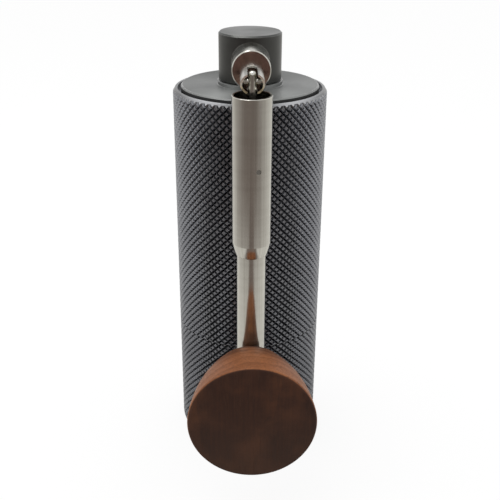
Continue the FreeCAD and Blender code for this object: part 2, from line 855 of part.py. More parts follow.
def make_knob():
    """Return the turned wooden knob, wider towards its free end, bored from the back."""
    centre = vector(0, 0, knob_z)

    def at(radius, reach):
        return vector(0, -reach, knob_z + radius)

    wide = knob_diameter / 2
    narrow = knob_back_diameter / 2
    middle = knob_back + knob_back_round + (knob_length - knob_back_round) * 0.45
    side_end = at(wide, knob_front - knob_edge_round)
    side_start = at(narrow + knob_back_round, knob_back + knob_back_round)
    edge_mid = knob_edge_round * (1 - math.sqrt(0.5))
    back_mid = knob_back_round * (1 - math.sqrt(0.5))
    edges = [
        line(at(0, knob_back), at(narrow, knob_back)),
        arc(
            at(narrow, knob_back),
            at(narrow + knob_back_round - back_mid, knob_back + back_mid),
            side_start,
        ),
        arc(side_start, at(knob_middle_diameter / 2, middle), side_end),
        arc(
            side_end,
            at(wide - edge_mid, knob_front - edge_mid),
            at(wide - knob_edge_round, knob_front),
        ),
        line(at(wide - knob_edge_round, knob_front), at(0, knob_front)),
        line(at(0, knob_front), at(0, knob_back)),
    ]
    knob = turned_edges(edges, centre, FORWARD)
    return knob.cut(rod_forward(knob_bush_diameter / 2, knob_back, knob_back + knob_bore_depth, knob_z))


def make_knob_bush():
    """Return the brass bush pressed into the knob's bore."""
    return ring_forward(
        knob_bush_diameter / 2, axle_radius + running_fit, knob_back, knob_back + knob_bush_length, knob_z
    )


def make_pieces():
    """Return every piece by its node name."""
    upper_race_z = upper_bearing_z + bearing_width
    shaft_groove = shaft_radius - clip_groove_depth
    foot_groove = thread_radius - clip_groove_depth
    spigot_groove = hub_spigot_radius - clip_groove_depth
    pieces = {
        "grounds_bin": make_bin(),
        "bin_seal": make_bin_seal(),
        "outer_body": make_outer_body(),
        "outer_burr": make_outer_burr(),
        "burr_screws": make_burr_screws(),
        "hopper_liner": make_liner(),
        "snap_ring": make_snap_ring(),
        "drive_shaft": make_drive_shaft(),
        "shaft_clip": make_clip(shaft_groove, clip_width, upper_race_z),
        "dial_clip": make_clip(foot_groove, clip_width, dial_clip_z),
        "spring_washer": make_spring_washer(),
        "burr_spring": make_burr_spring(),
        "inner_burr": make_inner_burr(),
        "click_plate": make_click_plate(),
        "adjusting_dial": make_dial(),
        "click_balls": make_click_balls(),
        "click_springs": make_click_springs(),
        "lid": make_lid(),
        "lid_bush": make_lid_bush(),
        "lid_seal": make_lid_seal(),
        "crank_hub": make_hub(),
        "hub_clip": make_clip(spigot_groove, head_clip_width, head_clip_z),
        "stub_collar": make_collar(),
        "collar_pin": make_collar_pin(),
        "pivot_fork": make_fork(),
        "hinge_pin": make_hinge_pin(),
        "tongue_rod": make_tongue(),
        "tongue_button": make_button(),
        "lock_spring": make_lock_spring(),
        "crank_arm": make_arm(),
        "guide_bush": make_guide_bush(),
        "bush_screw": make_grub_screw(),
        "knob_axle": make_knob_axle(),
        "knob_washer": make_knob_washer(),
        "knob": make_knob(),
        "knob_bush": make_knob_bush(),
    }
    for place, seat_z in (("lower", carrier_seat_z), ("upper", upper_carrier_z)):
        bearing_z = seat_z + carrier_bearing_rise
        pieces[place + "_bearing_carrier"] = make_carrier(seat_z)
        pieces[place + "_outer_race"] = make_outer_race(bearing_z)
        pieces[place + "_inner_race"] = make_inner_race(bearing_z)
        pieces[place + "_bearing_balls"] = make_balls(bearing_z)
        pieces[place + "_ball_cage"] = make_cage(bearing_z)
    return pieces


os.makedirs("parts", exist_ok=True)
for node, piece in make_pieces().items():
    piece.exportStep("parts/" + node + ".step")
    state = "valid" if piece.isValid() else "NOT VALID"
    print(node, len(piece.Solids), "solid", state, round(piece.Volume, 2))
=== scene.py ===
"""Looks of a hand crank coffee grinder with a folding steel arm and a walnut knob.

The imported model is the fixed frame. Four pieces are made here: the knurled body shell, the knurled grounds
bin and the two springs that a joint shortens. Every other piece keeps its CAD shape and gets a finish. Sizes
are metres, and +Z is up.
"""
import logging
import math
from dataclasses import dataclass, fields
from enum import Enum
from typing import Any, Callable, Iterable

import bmesh
import bpy
from mathutils import Matrix, Vector


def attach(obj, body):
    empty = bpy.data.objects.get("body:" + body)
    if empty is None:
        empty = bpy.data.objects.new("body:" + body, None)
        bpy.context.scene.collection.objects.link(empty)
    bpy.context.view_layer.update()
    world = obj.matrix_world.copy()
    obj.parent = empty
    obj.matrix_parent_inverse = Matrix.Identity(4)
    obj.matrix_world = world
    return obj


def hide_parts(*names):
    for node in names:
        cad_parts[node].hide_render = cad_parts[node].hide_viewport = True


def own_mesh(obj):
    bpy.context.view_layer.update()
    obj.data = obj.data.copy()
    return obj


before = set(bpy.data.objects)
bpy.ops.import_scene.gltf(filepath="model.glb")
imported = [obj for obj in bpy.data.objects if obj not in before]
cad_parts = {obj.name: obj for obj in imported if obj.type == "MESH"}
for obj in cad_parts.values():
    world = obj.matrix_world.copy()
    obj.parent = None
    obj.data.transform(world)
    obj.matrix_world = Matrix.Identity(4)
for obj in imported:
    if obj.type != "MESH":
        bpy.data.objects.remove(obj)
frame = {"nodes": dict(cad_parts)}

LOG = logging.getLogger("grinder")
MM = 0.001
WHITE = (1.0, 1.0, 1.0, 1.0)
QUARTER_TURN = 0.25

Colour = tuple[float, float, float]
Point = tuple[float, float, float]
Ring = tuple[float, float]
Span = tuple[float, float]
Socket = bpy.types.NodeSocket


class Axis(Enum):
    """The line that a turned piece was turned about."""

    CRANK = "crank"
    ARM = "arm"
    FORK = "fork"


@dataclass(frozen=True)
class Arm:
    """Where the folding arm hangs."""

    reach: float = 37.5 * MM
    pivot_height: float = 141.35 * MM


class Graph:
    """Adds nodes to one node tree and links them."""

    def __init__(self, tree: bpy.types.NodeTree) -> None:
        """Keep the tree that nodes are added to."""
        self.tree = tree

    def add(self, kind: str, inputs: dict | None = None, **settings: Any) -> bpy.types.Node:
        """Add a node.

        Args:
            kind: Blender's name of the node type.
            inputs: values or sockets by the input's name or number.
            settings: properties of the node.

        Returns:
            The new node.
        """
        node = self.tree.nodes.new(kind)
        for name, value in settings.items():
            setattr(node, name, value)
        for key, value in (inputs or {}).items():
            self.put(node.inputs[key], value)
        return node

    def put(self, socket: Socket, value: Any) -> None:
        """Link a socket to an input, or set the input's own value.

        Args:
            socket: the input.
            value: the socket to link, or a plain value.
        """
        if isinstance(value, Socket):
            self.tree.links.new(value, socket)
        else:
            socket.default_value = value

    def math(self, operation: str, *values: Any) -> Socket:
        """Return the result of a math node."""
        inputs = dict(enumerate(values))
        return self.add("ShaderNodeMath", inputs, operation=operation).outputs[0]

    def radius(self, x: Socket, y: Socket) -> Socket:
        """Return the length of a flat vector."""
        squares = self.math("ADD", self.math("MULTIPLY", x, x), self.math("MULTIPLY", y, y))
        return self.math("SQRT", squares)

    def split(self, vector: Socket) -> tuple:
        """Return the x, y and z sockets of a vector."""
        return tuple(self.add("ShaderNodeSeparateXYZ", {0: vector}).outputs)

    def join(self, x: Any, y: Any, z: Any) -> Socket:
        """Return a vector made of three values."""
        return self.add("ShaderNodeCombineXYZ", {0: x, 1: y, 2: z}).outputs[0]

    def swing(self, x: Socket, y: Socket) -> Socket:
        """Return the angle from straight in front, which is -Y, to a flat vector."""
        return self.math("ARCTAN2", x, self.math("MULTIPLY", y, -1.0))

    def stretched(self, vector: Socket, scale: Point) -> Socket:
        """Return a vector scaled along each axis."""
        return self.add("ShaderNodeMapping", {"Vector": vector, "Scale": scale}).outputs[0]

    def noise(self, vector: Socket, scale: Any, detail: float) -> Socket:
        """Return the value of a noise texture."""
        inputs = {"Vector": vector, "Scale": scale, "Detail": detail}
        return self.add("ShaderNodeTexNoise", inputs).outputs[0]

    def spread(
        self, value: Any, low: float, high: float, to_low: float = 0.0, to_high: float = 1.0
    ) -> Socket:
        """Move a value smoothly from one range to another.

        Args:
            value: the value.
            low: start of its range.
            high: end of its range.
            to_low: result at the start.
            to_high: result at the end.

        Returns:
            The moved value.
        """
        inputs = {"Value": value, 1: low, 2: high, 3: to_low, 4: to_high}
        node = self.add("ShaderNodeMapRange", inputs, interpolation_type="SMOOTHSTEP")
        return node.outputs[0]

    def mix(self, share: Any, first: Any, second: Any) -> Socket:
        """Mix two colours.

        Args:
            share: how much of the second colour, from 0 to 1.
            first: the first colour.
            second: the second colour.

        Returns:
            The mixed colour.
        """
        node = self.add("ShaderNodeMix", data_type="RGBA")
        self.put(node.inputs[0], share)
        self.put(node.inputs[6], first)
        self.put(node.inputs[7], second)
        return node.outputs[2]

    def group(self, tree: bpy.types.NodeTree, inputs: dict) -> bpy.types.Node:
        """Place a shader node group.

        Args:
            tree: the group.
            inputs: values or sockets by the input's name.

        Returns:
            The group's node.
        """
        node = self.add("ShaderNodeGroup", node_tree=tree)
        for key, value in inputs.items():
            self.put(node.inputs[key], value)
        return node

    def bump(self, shader: bpy.types.Node, strength: float, distance: float, height: Socket) -> None:
        """Give a shader a fine relief.

        Args:
            shader: the shader.
            strength: share of the full relief.
            distance: depth of the full relief.
            height: the relief, from 0 to 1.
        """
        inputs = {"Strength": strength, "Distance": distance, "Height": height}
        self.put(shader.inputs["Normal"], self.add("ShaderNodeBump", inputs).outputs[0])


def rgba(colour: Colour) -> tuple[float, float, float, float]:
    """Return a colour with full alpha."""
    return (*colour, 1.0)


def scaled(colour: Colour, factor: float) -> Colour:
    """Return a colour made paler or darker by a factor."""
    return tuple(factor * part for part in colour)


def add_object(name: str, data: Any) -> bpy.types.Object:
    """Put a mesh, a camera or a lamp into the scene.

    Args:
        name: the object's name.
        data: what the object shows.

    Returns:
        The object.
    """
    item = bpy.data.objects.new(name, data)
    bpy.context.scene.collection.objects.link(item)
    return item


class SharedEffects:
    """Shader node groups that several finishes use."""

    def __init__(self) -> None:
        """Build every group once."""
        self.turning = self.make_turning()
        self.blast = self.make_blast()
        self.wear = self.make_wear_and_highlight()
        self.handling = self.make_handling()

    @staticmethod
    def start(name: str, inputs: dict[str, Any], outputs: Iterable[str]) -> tuple:
        """Begin a group with named sockets.

        Args:
            name: the group's name.
            inputs: default values by socket name, where None stands for a vector.
            outputs: names of the value outputs.

        Returns:
            The tree, its graph, its input node and its output node.
        """
        tree = bpy.data.node_groups.new(name, "ShaderNodeTree")
        for label, value in inputs.items():
            kind = "NodeSocketVector" if value is None else "NodeSocketFloat"
            socket = tree.interface.new_socket(name=label, in_out="INPUT", socket_type=kind)
            if value is not None:
                socket.default_value = value
        for label in outputs:
            tree.interface.new_socket(name=label, in_out="OUTPUT", socket_type="NodeSocketFloat")
        graph = Graph(tree)
        return tree, graph, graph.add("NodeGroupInput"), graph.add("NodeGroupOutput")

    def make_turning(self) -> bpy.types.NodeTree:
        """Make fine lathe marks round the Z axis of the vector, and streaks along it.

        Returns:
            The group.
        """
        marks_round = 0.9
        coarse_scale = 0.12
        streaks_round = 9.0
        streaks_along = 16.0
        sockets = {"Vector": None, "Fineness": 6000.0}
        tree, graph, source, result = self.start("turning_marks", sockets, ("Height", "Shade", "Streak"))
        x, y, z = graph.split(source.outputs["Vector"])
        angle = graph.math("ARCTAN2", y, x)
        fineness = source.outputs["Fineness"]
        marks = graph.join(
            graph.math("MULTIPLY", graph.radius(x, y), fineness),
            graph.math("MULTIPLY", angle, marks_round),
            graph.math("MULTIPLY", z, fineness),
        )
        lengthwise = graph.join(
            graph.math("MULTIPLY", angle, streaks_round), graph.math("MULTIPLY", z, streaks_along), 0.0
        )
        coarse = graph.noise(marks, coarse_scale, 2.0)
        lines = graph.noise(lengthwise, 1.0, 4.0)
        graph.put(result.inputs["Height"], graph.noise(marks, 1.0, 3.0))
        graph.put(result.inputs["Shade"], graph.spread(coarse, 0.35, 0.65))
        graph.put(result.inputs["Streak"], graph.spread(lines, 0.3, 0.7))
        return tree

    def make_blast(self) -> bpy.types.NodeTree:
        """Make the fine pitting of a bead blasted face, and slow cloudy patches.

        Returns:
            The group.
        """
        cloud_scale = 140.0
        sockets = {"Vector": None, "Scale": 9000.0}
        tree, graph, source, result = self.start("bead_blast", sockets, ("Height", "Patch"))
        vector = source.outputs["Vector"]
        clouds = graph.noise(vector, cloud_scale, 4.0)
        graph.put(result.inputs["Height"], graph.noise(vector, source.outputs["Scale"], 2.0))
        graph.put(result.inputs["Patch"], graph.spread(clouds, 0.3, 0.7))
        return tree

    def make_wear_and_highlight(self) -> bpy.types.NodeTree:
        """Make a mask that is 1 along outer edges, for rubbed edges that are also a painted edge highlight.

        Returns:
            The group.
        """
        rub_scale = 700.0
        sockets = {"Radius": 0.3 * MM, "Vector": None}
        tree, graph, source, result = self.start("edge_wear_and_highlight", sockets, ("Mask",))
        rounded = graph.add("ShaderNodeBevel", {"Radius": source.outputs["Radius"]}, samples=4)
        sharp = graph.add("ShaderNodeNewGeometry")
        normals = {0: rounded.outputs[0], 1: sharp.outputs["True Normal"]}
        bend = graph.add("ShaderNodeVectorMath", normals, operation="DOT_PRODUCT").outputs["Value"]
        rubbed_and_highlight = graph.noise(source.outputs["Vector"], rub_scale, 3.0)
        edge = graph.spread(bend, 0.995, 0.88)
        mask = graph.math("MULTIPLY", edge, graph.spread(rubbed_and_highlight, 0.3, 0.6, 0.35, 1.0))
        graph.put(result.inputs["Mask"], mask)
        return tree

    def make_handling(self) -> bpy.types.NodeTree:
        """Make the soft smudges that hands leave, from 0 to 1.

        Returns:
            The group.
        """
        sockets = {"Vector": None, "Scale": 60.0}
        tree, graph, source, result = self.start("handling", sockets, ("Smudge",))
        noise = graph.noise(source.outputs["Vector"], source.outputs["Scale"], 5.0)
        graph.put(result.inputs["Smudge"], graph.spread(noise, 0.32, 0.68))
        return tree


def empty_material(name: str) -> tuple[bpy.types.Material, Graph]:
    """Begin a material without nodes.

    Args:
        name: the material's name.

    Returns:
        The material and its graph.
    """
    material = bpy.data.materials.new(name)
    material.use_nodes = True
    material.node_tree.nodes.clear()
    return material, Graph(material.node_tree)


def begin_material(name: str) -> tuple[bpy.types.Material, Graph, bpy.types.Node]:
    """Begin a material with a Principled shader.

    Args:
        name: the material's name.

    Returns:
        The material, its graph and its shader.
    """
    material, graph = empty_material(name)
    shader = graph.add("ShaderNodeBsdfPrincipled")
    output = graph.add("ShaderNodeOutputMaterial")
    graph.put(output.inputs["Surface"], shader.outputs[0])
    return material, graph, shader


@dataclass(frozen=True)
class Anodised:
    """Bead blasted and anodised aluminium, a little rubbed at its edges, where the paler rubbed colour is
    also a painted edge highlight.
    """

    name: str
    colour: Colour
    # The rubbed colour is also a painted edge highlight.
    rubbed_and_highlight: Colour
    roughness: float
    pitting: float
    wear: float
    groove: Span | None = None
    # Painted shade: knurl grooves darker by radius, and the whole darker towards the base.
    groove_shade_margin: float = 0.4 * MM
    groove_shade_share: float = 0.64
    groove_shade_colour: Colour = (0.008, 0.008, 0.01)
    base_height: float = 110.0 * MM
    base_share: float = 0.36
    turned: float = 0.0
    metal: float = 1.0
    edge: float = 0.25 * MM
    fan: float = 1.0
    fan_swing: tuple[float, float, float] = (0.1, 0.55, 1.25)
    dull: float = 0.88
    pit_depth: float = 0.03 * MM

    def paint_groove_shade(self, graph: Graph, place: Socket, base: Socket) -> Socket:
        """Paint shade into the grooves of a knurl, and a little painted shade over the whole towards its
        base.

        Args:
            graph: the material's graph.
            place: Object coordinates.
            base: the colour so far.

        Returns:
            The darkened colour.
        """
        root, crest = self.groove
        x, y, z = graph.split(place)
        radius = graph.radius(x, y)
        outside = graph.math("GREATER_THAN", radius, root - self.groove_shade_margin)
        depth = graph.spread(radius, root, crest, self.groove_shade_share, 0.0)
        # The painted shade's colour, used in the grooves and towards the base.
        dark = rgba(self.groove_shade_colour)
        base = graph.mix(graph.spread(z, 0.0, self.base_height, self.base_share, 0.0), base, dark)
        return graph.mix(graph.math("MULTIPLY", outside, depth), base, dark)

    def fanned(self, graph: Graph, place: Socket, base: Socket) -> Socket:
        """Make two wedges in front paler, where turning marks catch the light.

        Args:
            graph: the material's graph.
            place: Object coordinates.
            base: the colour so far.

        Returns:
            The colour with its wedges.
        """
        start, peak, end = self.fan_swing
        x, y, _ = graph.split(place)
        swing = graph.math("ABSOLUTE", graph.swing(x, y))
        rise = graph.spread(swing, start, peak)
        fall = graph.spread(swing, peak, end, 1.0, 0.0)
        return graph.mix(graph.math("MULTIPLY", rise, fall), base, rgba(scaled(self.colour, self.fan)))

    def build(self, shared: SharedEffects) -> bpy.types.Material:
        """Make the material.

        Args:
            shared: the node groups.

        Returns:
            The finished material.
        """
        material, graph, shader = begin_material(self.name)
        place = graph.add("ShaderNodeTexCoord").outputs["Object"]
        blast = graph.group(shared.blast, {"Vector": place, "Scale": 7000.0})
        wear = graph.group(shared.wear, {"Radius": self.edge, "Vector": place})
        smudge = graph.group(shared.handling, {"Vector": place, "Scale": 70.0})
        base = graph.mix(blast.outputs["Patch"], rgba(scaled(self.colour, self.dull)), rgba(self.colour))
        # Rubbed edges, whose paler colour is also a painted edge highlight.
        share = graph.math("MULTIPLY", wear.outputs["Mask"], self.wear)
        base = graph.mix(share, base, rgba(self.rubbed_and_highlight))
        # Painted shade in the knurl's grooves and towards the base.
        if self.groove:
            base = self.paint_groove_shade(graph, place, base)
        if self.fan > 1.0:
            base = self.fanned(graph, place, base)
        graph.put(shader.inputs["Base Color"], base)
        shader.inputs["Metallic"].default_value = self.metal
        rough = graph.spread(smudge.outputs[0], 0.0, 1.0, self.roughness - 0.04, self.roughness + 0.06)
        graph.put(shader.inputs["Roughness"], rough)
        shader.inputs["Anisotropic"].default_value = self.turned
        shader.inputs["Anisotropic Rotation"].default_value = QUARTER_TURN
        if self.turned:
            tangent = graph.add("ShaderNodeTangent", direction_type="RADIAL", axis="Z")
            graph.put(shader.inputs["Tangent"], tangent.outputs[0])
        graph.bump(shader, self.pitting, self.pit_depth, blast.outputs["Height"])
        return material


@dataclass(frozen=True)
class TurnedMetal:
    """Turned and polished metal with fine marks round its axis."""

    name: str
    colour: Colour
    shade: Colour
    roughness: float
    streak: float
    axis: Axis
    marks: float
    mark_depth: float = 0.004 * MM
    streak_share: float = 0.75

    def centred(self, graph: Graph) -> Socket:
        """Bring the axis that the piece was turned about to Z.

        Args:
            graph: the material's graph.

        Returns:
            Object coordinates about that axis.
        """
        place = graph.add("ShaderNodeTexCoord").outputs["Object"]
        if self.axis is Axis.CRANK:
            return place
        node = graph.add("ShaderNodeMapping", {"Vector": place}, vector_type="POINT")
        if self.axis is Axis.ARM:
            node.inputs["Location"].default_value = (0.0, Arm.reach, 0.0)
            return node.outputs[0]
        node.inputs["Location"].default_value = (0.0, -Arm.pivot_height, 0.0)
        node.inputs["Rotation"].default_value = (math.radians(-90.0), 0.0, 0.0)
        return node.outputs[0]

    def build(self, shared: SharedEffects) -> bpy.types.Material:
        """Make the material.

        Args:
            shared: the node groups.

        Returns:
            The finished material.
        """
        material, graph, shader = begin_material(self.name)
        place = self.centred(graph)
        turning = graph.group(shared.turning, {"Vector": place, "Fineness": 5000.0})
        smudge = graph.group(shared.handling, {"Vector": place, "Scale": 90.0})
        tone = graph.math("MULTIPLY", turning.outputs["Shade"], 1.0 - self.streak_share)
        tone = graph.math("ADD", tone, graph.math("MULTIPLY", turning.outputs["Streak"], self.streak_share))
        graph.put(shader.inputs["Base Color"], graph.mix(tone, rgba(self.colour), rgba(self.shade)))
        shader.inputs["Metallic"].default_value = 1.0
        rough = graph.spread(smudge.outputs[0], 0.0, 1.0, self.roughness - 0.02, self.roughness + 0.03)
        graph.put(shader.inputs["Roughness"], rough)
        shader.inputs["Anisotropic"].default_value = self.streak
        shader.inputs["Anisotropic Rotation"].default_value = QUARTER_TURN
        direction = "Y" if self.axis is Axis.FORK else "Z"
        tangent = graph.add("ShaderNodeTangent", direction_type="RADIAL", axis=direction)
        graph.put(shader.inputs["Tangent"], tangent.outputs[0])
        graph.bump(shader, self.marks, self.mark_depth, turning.outputs["Height"])
        return material


@dataclass(frozen=True)
class Moulded:
    """Moulded plastic or rubber with a faint texture."""

    name: str
    colour: Colour
    roughness: float
    texture: float
    pale: float = 1.5
    texture_depth: float = 0.04 * MM

    def build(self, shared: SharedEffects) -> bpy.types.Material:
        """Make the material.

        Args:
            shared: the node groups.

        Returns:
            The finished material.
        """
        material, graph, shader = begin_material(self.name)
        place = graph.add("ShaderNodeTexCoord").outputs["Object"]
        blast = graph.group(shared.blast, {"Vector": place, "Scale": 3500.0})
        smudge = graph.group(shared.handling, {"Vector": place, "Scale": 120.0})
        base = graph.mix(blast.outputs["Patch"], rgba(self.colour), rgba(scaled(self.colour, self.pale)))
        graph.put(shader.inputs["Base Color"], base)
        rough = graph.spread(smudge.outputs[0], 0.0, 1.0, self.roughness - 0.05, self.roughness + 0.1)
        graph.put(shader.inputs["Roughness"], rough)
        graph.bump(shader, self.texture, self.texture_depth, blast.outputs["Height"])
        return material


@dataclass(frozen=True)
class Walnut:
    """Oiled walnut whose grain runs up the knob, across its axis.

    The front face, in the fields named face, is darker than the side, partly as end grain and partly as
    painted shade, and greyer towards its lower edge.
    """

    name: str
    light: Colour
    dark: Colour
    face_light: Colour
    face_dark: Colour
    face_low: Colour
    pore: Colour
    heart: tuple[float, float]
    ring_width: float
    ring_wave: float = 6.0 * MM
    wave_scale: Point = (70.0, 70.0, 14.0)
    fibre_scale: Point = (1500.0, 1500.0, 60.0)
    pore_scale: Point = (2600.0, 2600.0, 190.0)
    near_arm_depth: Span = (-61.0 * MM, -46.0 * MM)
    near_arm_share: float = 0.8
    low_height: Span = (22.0 * MM, 60.0 * MM)
    low_share: float = 0.5
    pore_depth: float = 0.04 * MM

    def rings(self, graph: Graph, place: Socket) -> Socket:
        """Make growth rings.

        Args:
            graph: the material's graph.
            place: Object coordinates.

        Returns:
            A value from 0 in early wood to 1 at the dark line.
        """
        x, y, _ = graph.split(place)
        slow = graph.noise(graph.stretched(place, self.wave_scale), 1.0, 3.0)
        across = graph.math("SUBTRACT", x, self.heart[0])
        along = graph.math("SUBTRACT", y, self.heart[1])
        wavy = graph.math("ADD", graph.radius(across, along), graph.math("MULTIPLY", slow, self.ring_wave))
        turn = graph.math("FRACT", graph.math("DIVIDE", wavy, self.ring_width))
        return graph.math("POWER", turn, 2.2)

    def side(self, graph: Graph, tone: Socket, cloud: Socket, depth: Socket) -> Socket:
        """Colour the turned side, which is darker in patches near the arm.

        Args:
            graph: the material's graph.
            tone: the grain, from light to dark.
            cloud: slow patches from 0 to 1.
            depth: the place along the knob's axis.

        Returns:
            The side's colour.
        """
        wood = graph.mix(tone, rgba(self.light), rgba(self.dark))
        near = graph.spread(depth, self.near_arm_depth[0], self.near_arm_depth[1], 0.0, self.near_arm_share)
        return graph.mix(graph.math("MULTIPLY", near, cloud), wood, rgba(self.pore))

    def face(self, graph: Graph, grain: Socket, cloud: Socket, height: Socket) -> Socket:
        """Colour the flat front face, whose darker colours are partly painted shade.

        Args:
            graph: the material's graph.
            grain: rings and fibres.
            cloud: slow patches from 0 to 1.
            height: the place up the face.

        Returns:
            The face's colour.
        """
        tone = graph.math("ADD", graph.math("MULTIPLY", grain, 0.4), graph.math("MULTIPLY", cloud, 0.7))
        wood = graph.mix(tone, rgba(self.face_light), rgba(self.face_dark))
        low = graph.spread(height, self.low_height[0], self.low_height[1], self.low_share, 0.0)
        return graph.mix(low, wood, rgba(self.face_low))

    def build(self, shared: SharedEffects) -> bpy.types.Material:
        """Make the material.

        Args:
            shared: the node groups.

        Returns:
            The finished material.
        """
        material, graph, shader = begin_material(self.name)
        coordinates = graph.add("ShaderNodeTexCoord")
        place = coordinates.outputs["Object"]
        _, depth, height = graph.split(place)
        fibre = graph.noise(graph.stretched(place, self.fibre_scale), 1.0, 4.0)
        pores = graph.noise(graph.stretched(place, self.pore_scale), 1.0, 1.0)
        pore = graph.spread(pores, 0.6, 0.68)
        smudge = graph.group(shared.handling, {"Vector": place, "Scale": 60.0})
        cloud = graph.spread(graph.noise(place, 95.0, 4.0), 0.33, 0.67)
        streak = graph.math("MULTIPLY", graph.spread(fibre, 0.3, 0.7), 0.4)
        grain = graph.math("ADD", graph.math("MULTIPLY", self.rings(graph, place), 0.45), streak)
        tone = graph.math("ADD", grain, graph.math("MULTIPLY", smudge.outputs[0], 0.3))
        forward = graph.math("MULTIPLY", graph.split(coordinates.outputs["Normal"])[1], -1.0)
        # The front face's darker colours, picked by the normal, are partly painted shade.
        in_front = graph.spread(forward, 0.35, 0.8)
        side = self.side(graph, tone, cloud, depth)
        wood = graph.mix(in_front, side, self.face(graph, grain, cloud, height))
        base = graph.mix(graph.math("MULTIPLY", pore, 0.6), wood, rgba(self.pore))
        graph.put(shader.inputs["Base Color"], base)
        graph.put(shader.inputs["Roughness"], graph.spread(tone, 0.0, 1.0, 0.4, 0.52))
        shader.inputs["Specular IOR Level"].default_value = 0.13
        relief = graph.math("SUBTRACT", graph.math("MULTIPLY", fibre, 0.4), pore)
        graph.bump(shader, 0.35, self.pore_depth, relief)
        return material


@dataclass(frozen=True)
class Finishes:
    """Every finish of the grinder."""

    body: Anodised = Anodised(
        "dark_anodised",
        colour=(0.23, 0.236, 0.257),
        rubbed_and_highlight=(0.58, 0.587, 0.61),
        roughness=0.27,
        pitting=0.1,
        wear=0.75,
        groove=(25.2 * MM, 25.58 * MM),
    )
    rim: Anodised = Anodised("cut_rim", (0.17, 0.172, 0.177), (0.5, 0.5, 0.51), 0.24, 0.05, 0.4, fan=3.0)
    # The lid's bright rubbed edges are mostly a painted highlight, such as the light ring at the hub's foot.
    lid: Anodised = Anodised(
        "grey_anodised",
        colour=(0.13, 0.134, 0.131),
        rubbed_and_highlight=(0.75, 0.75, 0.75),
        roughness=0.42,
        pitting=0.3,
        wear=0.9,
        turned=0.8,
        metal=0.5,
        edge=0.5 * MM,
        fan=2.0,
    )
    hub: Anodised = Anodised("hub_anodised", (0.096, 0.098, 0.094), (0.36, 0.365, 0.35), 0.32, 0.25, 0.6)
    arm: TurnedMetal = TurnedMetal(
        "arm_steel", (0.63, 0.62, 0.57), (0.52, 0.505, 0.46), 0.16, 0.5, Axis.ARM, 0.04
    )
    fork: TurnedMetal = TurnedMetal(
        "fork_steel", (0.64, 0.63, 0.58), (0.52, 0.505, 0.46), 0.17, 0.2, Axis.FORK, 0.04
    )
    # Painted reflection: the collar's front face is tinted brown, standing in for the reflection of a brown
    # surround.
    collar_face: TurnedMetal = TurnedMetal(
        "painted_collar_reflection_steel", (0.4, 0.27, 0.23), (0.32, 0.215, 0.185), 0.17, 0.2, Axis.FORK, 0.04
    )
    # Painted highlight: the fork's front ends are near white, standing in for a bright reflection.
    fork_end: TurnedMetal = TurnedMetal(
        "painted_fork_end_highlight_steel", (0.9, 0.89, 0.85), (0.8, 0.79, 0.75), 0.34, 0.0, Axis.FORK, 0.04
    )
    steel: TurnedMetal = TurnedMetal(
        "inner_steel", (0.6, 0.59, 0.57), (0.45, 0.44, 0.43), 0.24, 0.3, Axis.CRANK, 0.3
    )
    screw: TurnedMetal = TurnedMetal(
        "black_oxide", (0.34, 0.335, 0.31), (0.24, 0.24, 0.22), 0.3, 0.0, Axis.CRANK, 0.1
    )
    burr: TurnedMetal = TurnedMetal(
        "burr_steel_ground", (0.5, 0.5, 0.5), (0.36, 0.36, 0.36), 0.34, 0.3, Axis.CRANK, 0.6
    )
    brass: TurnedMetal = TurnedMetal(
        "turned_brass", (0.62, 0.5, 0.32), (0.52, 0.41, 0.25), 0.26, 0.3, Axis.CRANK, 0.4
    )
    walnut: Walnut = Walnut(
        "oiled_walnut",
        light=(0.31, 0.117, 0.046),
        dark=(0.17, 0.062, 0.026),
        face_light=(0.068, 0.0255, 0.012),
        face_dark=(0.027, 0.0118, 0.0082),
        face_low=(0.047, 0.0285, 0.0205),
        pore=(0.045, 0.02, 0.012),
        heart=(12.0 * MM, -135.0 * MM),
        ring_width=4.7 * MM,
    )
    plastic: Moulded = Moulded("matte_plastic", (0.03, 0.03, 0.031), 0.5, 0.3)
    rubber: Moulded = Moulded("seal_rubber", (0.02, 0.02, 0.02), 0.62, 0.4)


